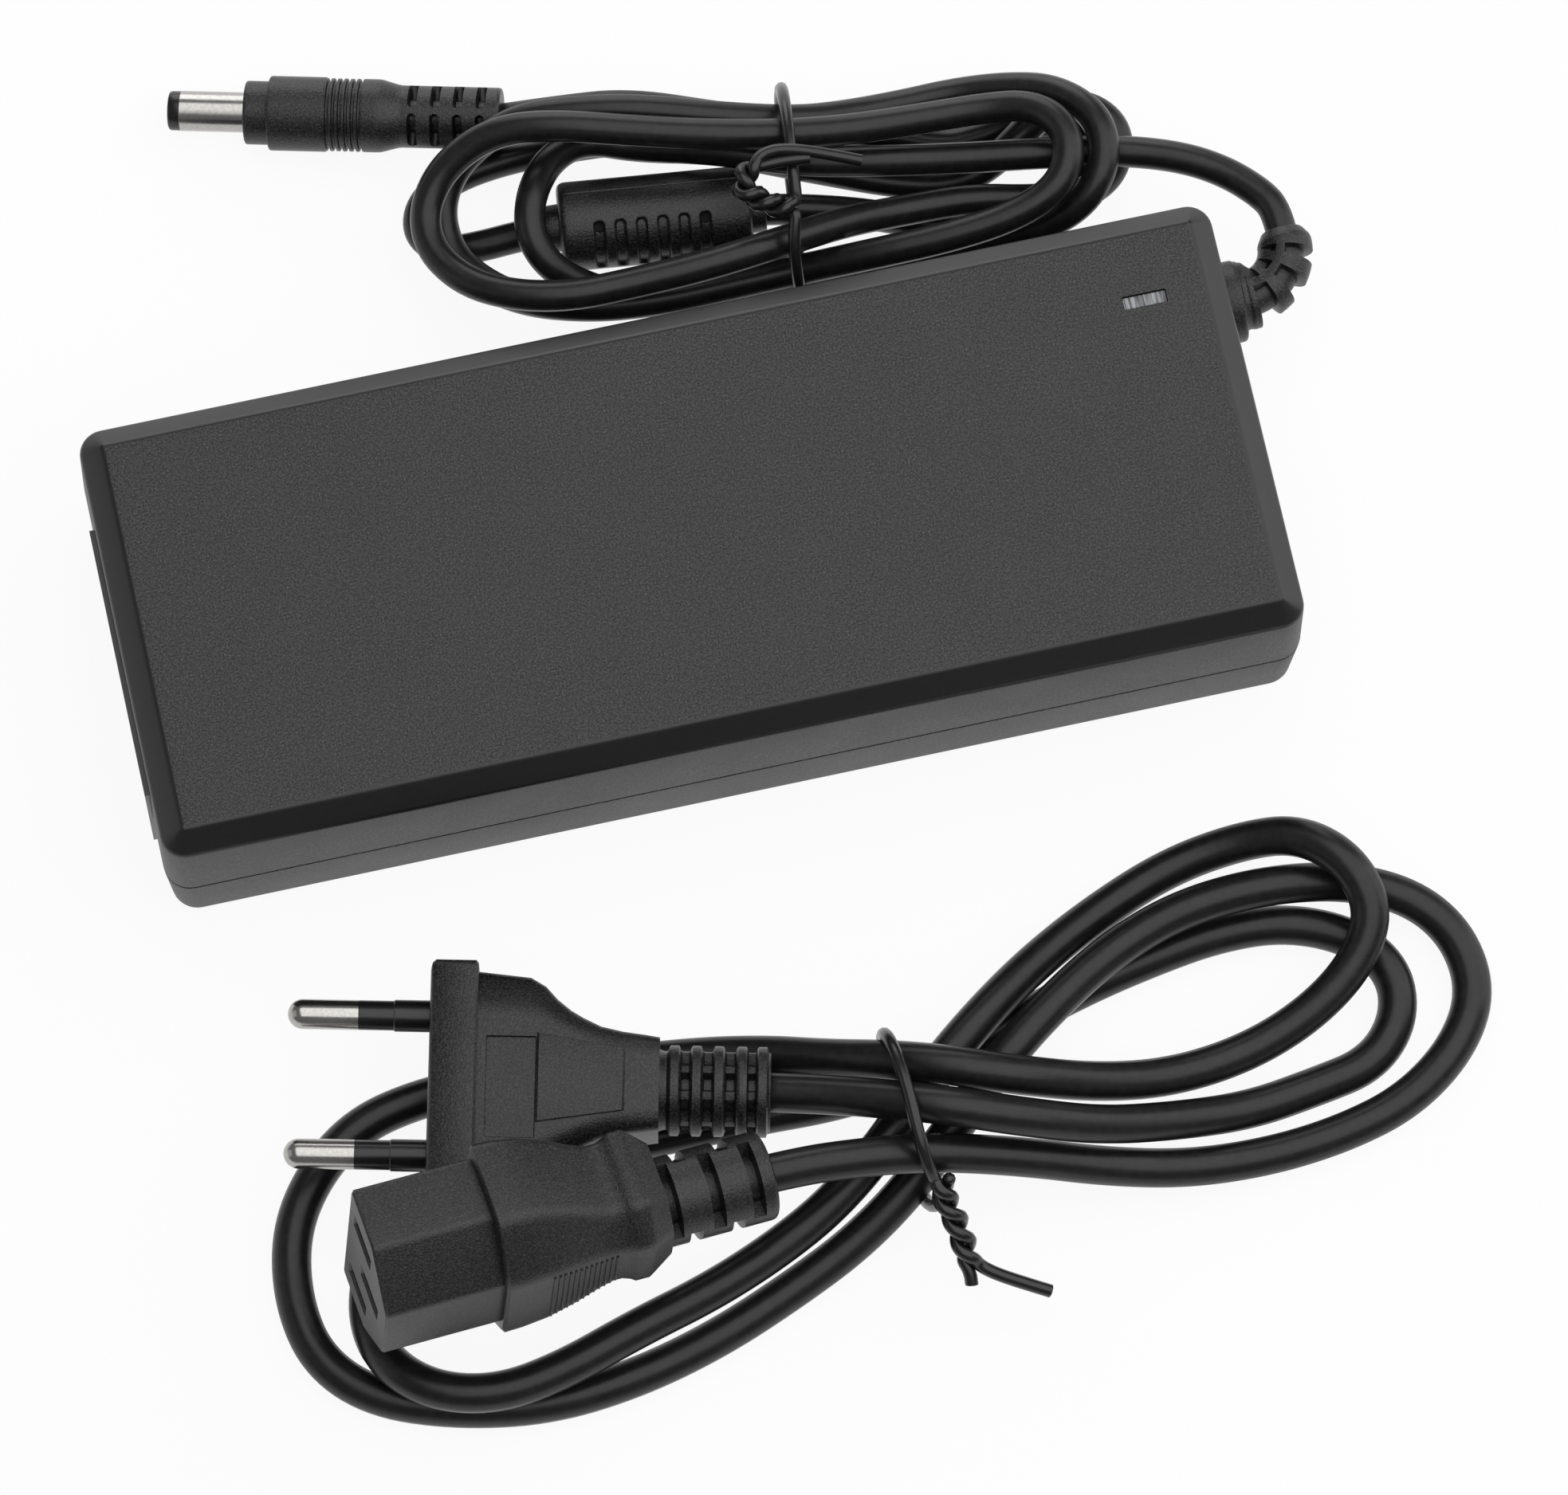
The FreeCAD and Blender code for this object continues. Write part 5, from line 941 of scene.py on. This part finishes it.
connector = {
    "face": (-62.9, -90.6, 26.8), "end": (-8.5, -85.8, 19), "roll": 79,
    # along, half width, half height, cut width, cut height, corner
    "nose": ((0, 11.7, 7.7, 6.3, 6.8, 0.5), (0.3, 12.0, 8.0, 6.5, 7.0, 0.7),
             (17.0, 12.0, 8.0, 6.5, 7.0, 0.7)),
    "grip": ((16.2, 13.2, 8.8, 6.7, 6.2, 1.0), (16.6, 13.75, 9.25, 6.8, 6.4, 1.4),
             (19.0, 13.7, 9.2, 6.8, 6.4, 1.4), (22.5, 13.1, 8.9, 6.4, 6.0, 1.4),
             (26.5, 11.4, 8.3, 5.6, 5.2, 1.4), (30.0, 9.3, 7.6, 4.5, 4.4, 1.4),
             (32.0, 8.5, 7.3, 4.1, 4.1, 1.4), (33.2, 8.5, 7.3, 4.1, 4.1, 1.3),
             (34.3, 8.8, 7.6, 4.2, 4.2, 1.2), (34.9, 9.1, 7.9, 4.3, 4.3, 1.0),
             (36.8, 9.1, 7.9, 4.3, 4.3, 1.0), (37.5, 8.6, 7.6, 4.2, 4.2, 1.0),
             (40.1, 6.6, 6.4, 3.4, 3.4, 1.6)),
    "mouths": ((-7.0, -2.5), (7.0, -2.5), (0, 1.5)), "slot": (2.3, 6.5), "slotDepth": 15.0,
    "funnel": ((-0.2, 0.45), (0.35, 0.0)),  # along, mm wider than the slot on each side
    "reliefStart": 38.5, "relief": 6.0, "core": 3.7,
    "reliefSlot": 1.6, "reliefSide": 106,  # mm, degrees round before the roll
    "sideSlots": (40.9, 46.8, 52.3), "sideReach": 0.95,  # mm, radians to either side
    "topSlots": (43.6, 49.5), "topReach": 0.62,
    "grooves": (22.8, 32.0, 13),  # first, last, count of the grip lines
}


def cutCornerRing(x, wide, tall, cutWide, cutTall, corner):
    ring = roundedPolygon([(wide, -tall), (wide, tall - cutTall), (wide - cutWide, tall),
                           (-wide + cutWide, tall), (-wide, tall - cutTall), (-wide, -tall)], corner, 5)
    return standingRing(ring, x)


def makeConnector():
    size = connector
    pose = lyingAxes(size["face"], size["end"], size["roll"])
    length = spanOf(size["face"], size["end"])
    nose = newPiece("connectorNose", *tubeParts([cutCornerRing(*row) for row in size["nose"]]))
    wide, tall = size["slot"][0] / 2, size["slot"][1] / 2
    mouths, funnels = [], []
    for y, z in size["mouths"]:
        mouths.append(boxPart((-1, y - wide, z - tall), (size["slotDepth"], y + wide, z + tall), 0.12))
        rings = []
        for x, extra in size["funnel"]:
            outline = rectangle(wide + extra, tall + extra) + (y, z)
            rings.append(standingRing(roundedPolygon(outline, 0.2, 3), x))
        funnels.append(tubeParts(rings))
    cutters = [newPiece("cutMouths", *joinParts(mouths)), newPiece("cutFunnels", *joinParts(funnels))]
    cutAway(nose, cutters)
    removeAll(cutters)
    seat(nose, pose, 35)
    start = size["reliefStart"]
    profile = roundedProfile([(start, 5.4, 0), (start + 0.1, size["relief"], 0),
                              (length, size["relief"], 0.9), (length, 2.8, 0)])
    place = risingPlaces(profile)
    slotHalf = size["reliefSlot"] / 2
    side = math.radians(size["reliefSide"] - size["roll"])
    sets = ((size["sideSlots"], (side, side + np.pi), size["sideReach"]),
            (size["topSlots"], (side + np.pi / 2, side - np.pi / 2), size["topReach"]))

    def radius(x, t):
        base = np.interp(x, place, profile[:, 1])
        carve = 0
        for middles, sides, half in sets:
            carve = carve + within(x, bothSides(middles, slotHalf), 0.14) * facing(t, sides, half)
        return base - (base - size["core"]) * np.clip(carve, 0, 1)

    edges = bothSides(size["sideSlots"] + size["topSlots"], slotHalf)
    stations = stationLines(start, length, 50, edges, 0.14, place)
    turns = np.concatenate([np.ravel(bothSides(sides, half)) for _, sides, half in sets])
    angles = roundAngles(turns % fullTurn)
    gripRings = [cutCornerRing(*row) for row in size["grip"]]
    parts = [tubeParts(gripRings), carvedTube(stations, angles, radius)]
    rows = np.array(size["grip"])
    first, last, count = size["grooves"]
    for middle in np.linspace(first, last, count):
        high = np.interp(middle, rows[:, 0], rows[:, 2])
        flat = np.interp(middle, rows[:, 0], rows[:, 1] - rows[:, 3]) - 0.9
        for way in (1, -1):
            reach = flat if way > 0 else flat + 2.5
            low, top = sorted((way * (high - 0.5), way * (high + 0.22)))
            parts.append(boxPart((middle - 0.2, -reach, low), (middle + 0.2, reach, top), 0.12))
    body = newPiece("connectorBody", *placed(joinParts(parts), pose), sharpAngle=38)
    finishPiece(nose, "mains_lead", "plug_black", "connector_body")
    finishPiece(body, "mains_lead", "plug_black", "connector_body")
    return [nose, body]


connectorPieces = makeConnector()
print("mains connector made")


# Twisted ties round the hanks

dcTie = {
    "wire": 1.7, "pitch": 5.2,
    "loop": [(24.3, 46, 22.2), (24.8, 50.5, 22.3), (25.4, 56, 21.6), (25.9, 60.6, 18.5), (26.4, 64, 12.5),
             (26.4, 64.8, 6), (26.2, 62, 1.2), (26, 56, 0.85), (25, 48, 0.85), (24, 41, 0.85),
             (23.5, 36, 0.9), (23.1, 33.9, 3.5), (22.7, 33.9, 10), (22.4, 34.6, 15.5), (22.4, 36.8, 19),
             (22.7, 39.6, 21)],
    "twist": [(23.9, 43.1, 22.4), (21.4, 43.6, 23.1), (19.2, 44.8, 23.7), (17.6, 46, 23.9), (17.6, 47.8, 24),
              (18.8, 49.4, 24.1)],
    "tails": ([(20.1, 50.6, 24.3), (22.4, 51.1, 24.5), (25.2, 50.6, 24.4), (29.1, 49.3, 23.8),
               (33.8, 47.6, 22.8)],
              [(20.6, 49.2, 23.8), (23, 49.6, 24), (27, 49.2, 23.6)]),
}
mainsTie = {
    "wire": 1.8, "pitch": 6.8,
    "loop": [(12.5, -89.6, 18.9), (12, -85.6, 21.5), (12, -80, 21.9), (11.7, -75, 21.2), (11.2, -71, 19),
             (11, -69, 14), (11.1, -68.7, 8), (11.3, -69.8, 2.6), (11.4, -72.5, 0.9), (11.6, -78, 0.9),
             (11.8, -84.5, 0.9), (12.1, -89.8, 2), (12.9, -92.2, 6.5), (14, -92.3, 11.5), (14.9, -91, 15.2)],
    "twist": [(14.1, -90.7, 16.7), (13.9, -92.2, 15.6), (14.4, -94.2, 13.9), (15.1, -96.4, 11.9),
              (15.5, -98.7, 10), (15.8, -100.6, 8.6)],
    "tails": ([(15.7, -101.9, 7.8), (15.5, -103.4, 7)],
              [(17, -101.4, 8.2), (18.9, -102.9, 7.8), (21.8, -104.4, 7), (25.6, -106.2, 5.6)]),
}


def smoothLine(points, count):
    # Catmull-Rom line through the points, sampled evenly in its parameter
    points = np.asarray(points, float)
    padded = np.vstack([2 * points[0] - points[1], points, 2 * points[-1] - points[-2]])
    u = np.linspace(0, len(points) - 1 - 1e-6, count)
    k = u.astype(int)
    w = (u - k)[:, None]
    a, b, c, d = padded[k], padded[k + 1], padded[k + 2], padded[k + 3]
    square, cube = 2 * a - 5 * b + 4 * c - d, 3 * b - a - 3 * c + d
    return 0.5 * (2 * b + (c - a) * w + square * w ** 2 + cube * w ** 3)


def helixPoints(line, radius, pitch, phase):
    # points that circle the line at a radius, one turn each pitch of its length
    step = np.gradient(line, axis=0)
    step /= np.linalg.norm(step, axis=1)[:, None]
    side = np.cross(step, [0, 0, 1.0])
    side /= np.linalg.norm(side, axis=1)[:, None]
    rise = np.cross(side, step)
    gone = np.r_[0, np.cumsum(np.linalg.norm(np.diff(line, axis=0), axis=1))]
    turn = (fullTurn * gone / pitch + phase)[:, None]
    return line + radius * (np.cos(turn) * side + np.sin(turn) * rise)


def makeTie(name, tie, body, node):
    line = smoothLine(tie["twist"], 30)
    radius = tie["wire"] * 0.52  # the two wires just clear each other
    first = helixPoints(line, radius, tie["pitch"], 0)
    second = helixPoints(line, radius, tie["pitch"], np.pi)
    tailA, tailB = tie["tails"]
    points = np.vstack([tailA[::-1], first[::-1], tie["loop"], second, tailB])
    piece = tubeCurve(name, points, tie["wire"], order=4, resolution=4, roundness=3)
    return finishPiece(piece, body, "tie_black", node)


dcTiePiece = makeTie("dcTie", dcTie, "adapter", "dc_cord_tie")
mainsTiePiece = makeTie("mainsTie", mainsTie, "mains_lead", "mains_cord_tie")
print("ties made")


# Cords

dcCord = {
    "diameter": 4.3, "length": 0.92, "exit": (0.0879, 0.0285, 0.0145),
    "points": [
        (87.9, 28.5, 14.5), (87.9, 31.5, 14.5), (86.5, 34.5, 14), (82.5, 39, 13), (77, 42.5, 12.5),
        (69, 45.5, 11.5), (59.5, 47, 12), (48, 49, 11), (37, 51, 11), (26, 53, 12), (15, 57.5, 11.5),
        (6, 61, 7.5), (-1, 63.5, 8.5), (-6.5, 61, 10.5), (-10, 56, 13), (-11.5, 51, 13), (-10.5, 47, 11.5),
        (-7.5, 44, 9), (-2, 41.5, 6), (6.5, 39, 3.5), (17.5, 38, 3.5), (28.5, 38, 4), (39.5, 38, 5),
        (49.5, 37.5, 8), (58, 37, 11.5), (63.5, 38.5, 15), (67, 43, 17), (67, 49.5, 16.5), (62.5, 55, 14),
        (56.5, 57.5, 11.5), (49.5, 59, 9), (42, 59, 8.5), (34, 58.5, 10.5), (27, 58, 14), (16.5, 60, 16.5),
        (6.5, 63, 17.5), (-2.5, 65, 16.5), (-9, 66, 15), (-14.5, 65, 13), (-19.5, 62.5, 10.5),
        (-22.5, 58, 8.5), (-22.5, 52, 8), (-19.5, 46.5, 9), (-14, 41.5, 11), (-5.5, 38.5, 12),
        (3, 38, 10.5), (12, 38.5, 9), (22, 39, 8), (33.5, 37.5, 13), (43.5, 37, 15), (52.5, 37.5, 16.5),
        (59, 39.5, 18), (62, 43.5, 19), (62, 48.5, 18.5), (58.5, 52.5, 17), (52.5, 54, 15),
        (44.5, 54.5, 14.5), (34, 54.5, 16), (24, 55, 18.5), (13, 57, 20), (3.5, 59.5, 20.5), (-5, 62, 20.5),
        (-11.5, 63.5, 19), (-17, 63, 17), (-22, 60.5, 14.5), (-25, 56, 13), (-25, 50.5, 13),
        (-21.5, 45, 14), (-15.5, 41, 16), (-8, 39, 17), (0, 39, 17), (10, 39, 18), (20, 40, 18),
        (30.5, 43.5, 11), (40, 44.5, 7.5), (48.5, 44, 8), (57, 42, 8), (64, 41.5, 7), (69, 44.5, 6.5),
        (70.5, 50, 7), (67, 54.5, 7), (61, 54.5, 7.5), (56, 51, 6.5), (51, 48.5, 5), (46, 48, 3.5),
        (38.5, 50.5, 3), (31, 53.5, 3.5), (22.5, 57, 4), (13.5, 61.5, 3), (4.5, 64.5, 2.2), (-4, 65, 2.2),
        (-12, 65, 2.2), (-19, 64, 2.2), (-24.5, 61.5, 2.2), (-26, 57, 2.2), (-23, 53.5, 2.5),
        (-18, 53, 3.5), (-12.5, 53, 4.5), (-7, 52.5, 6.1), (19, 49.5, 6.1), (26.5, 48.5, 4.5),
        (35, 46.5, 3), (43.5, 43, 2.5), (52, 41, 2.2), (59.5, 41, 2.2), (65.5, 44, 2.2), (67, 49.5, 2.2),
        (63.5, 54, 2.2), (57.5, 55.5, 2.2), (52, 54.5, 2.2), (46.5, 54, 2.5), (38.5, 57.5, 4),
        (29, 59.5, 6), (17.5, 63, 7.5), (5.5, 65.5, 13.5), (-4, 67.5, 10.5), (-11.5, 69, 7.5),
    ],
}
mainsCord = {
    "diameter": 5.3, "length": 0.92, "exit": (-0.0085, -0.0858, 0.019),
    "points": [
        (-8.5, -85.8, 19), (-3.5, -85.6, 18.6), (2.5, -85.8, 17.8), (9.5, -86.2, 16.2), (17, -87, 13.5),
        (26.5, -89, 10.5), (36.5, -91.5, 6.5), (47, -93.5, 4), (58, -94, 3), (68.5, -93, 2.7),
        (78, -90.5, 2.7), (86, -85, 2.7), (90.5, -78, 2.7), (90, -70, 2.7), (85.5, -63.5, 3),
        (77, -59.5, 4.5), (65.5, -58.5, 7.5), (53.5, -59.5, 8), (43, -63.5, 9), (33.5, -69.5, 10.5),
        (25, -76, 11), (17.5, -82.5, 8), (10, -89, 6), (2, -94, 4), (-7, -98, 3), (-18.5, -102.5, 2.7),
        (-30.5, -105.5, 2.7), (-42.5, -106.5, 2.7), (-54.5, -104.5, 2.7), (-65, -100.5, 2.7),
        (-71, -94, 2.7), (-72.5, -85.5, 2.7), (-71, -76.5, 2.7), (-66.5, -69.5, 2.7), (-59.5, -64, 2.7),
        (-50.5, -62, 2.7), (-40.5, -62, 2.7), (-28.5, -63, 2.7), (-16, -64, 3), (-5, -66.5, 5.5),
        (3.5, -70, 9.5), (11, -73, 14.5), (18.5, -76, 17), (26.5, -79, 16.5), (37.5, -81, 10.5),
        (48, -81.5, 6.5), (59, -80, 5.5), (68.5, -76.5, 6.5), (75.5, -71.5, 8), (79, -65.5, 10),
        (77, -58.5, 11.5), (71.5, -53, 9.5), (64, -51.5, 6), (54, -52.5, 4), (43.5, -56.5, 4),
        (33.5, -62, 6.5), (24.5, -68.5, 9.5), (16.5, -75, 10.5), (9, -82, 8.5), (0.5, -88.5, 7),
        (-8, -93, 7), (-18, -97, 7.5), (-29, -100, 8), (-39.5, -103.5, 8.5), (-48.5, -105, 9),
        (-56.5, -103, 9), (-62, -98, 8), (-63.5, -91, 3.5), (-62, -84.5, 2.7), (-58.5, -79, 2.7),
        (-52.5, -75.5, 2.7), (-43, -74.5, 2.7), (-32, -74, 2.7), (-20, -74, 2.7), (-8, -74, 3),
        (2.5, -74.5, 3.5), (11.5, -74, 4.5), (19.5, -72, 4), (29, -69, 3), (39, -66, 2.7), (48.5, -64, 2.7),
        (58.5, -62.5, 2.7), (68, -63, 2.7), (76.5, -67, 2.7), (80.5, -73, 2.7), (79.5, -79.5, 2.7),
        (74.5, -84.5, 2.7), (66.5, -86, 3), (57, -87.5, 4), (47, -87.5, 7), (36.5, -87, 11.5),
        (26.5, -85, 17), (17.5, -82, 19), (9, -78.5, 16.5), (1, -75.5, 14), (-5.5, -73.5, 12.5),
    ],
}


# the routes' points are control points of the cords' centre lines
cordLook = {"order": 3, "resolution": 8, "roundness": 5}
dcLine = tubeCurve("dcCord", dcCord["points"], dcCord["diameter"], **cordLook)
dcLine.data.materials.append(looks["cordJacket"])
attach(dcLine, "adapter")
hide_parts("dc_cord_tail", "dc_cord_hank", "dc_cord_plug_end")
mainsLine = tubeCurve("mainsCord", mainsCord["points"], mainsCord["diameter"], **cordLook)
mainsLine.data.materials.append(looks["cordJacket"])
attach(mainsLine, "mains_lead")
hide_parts("mains_cord_plug_end", "mains_cord_hank", "mains_cord_connector_end")
print("cords laid")

dcPieces = [bendPiece, chokePiece, dcTiePiece, *plugPieces]
dcPieces += [nodes[name] for name in ("ferrite_core", "dc_plug_insulator", "dc_plug_contact")]
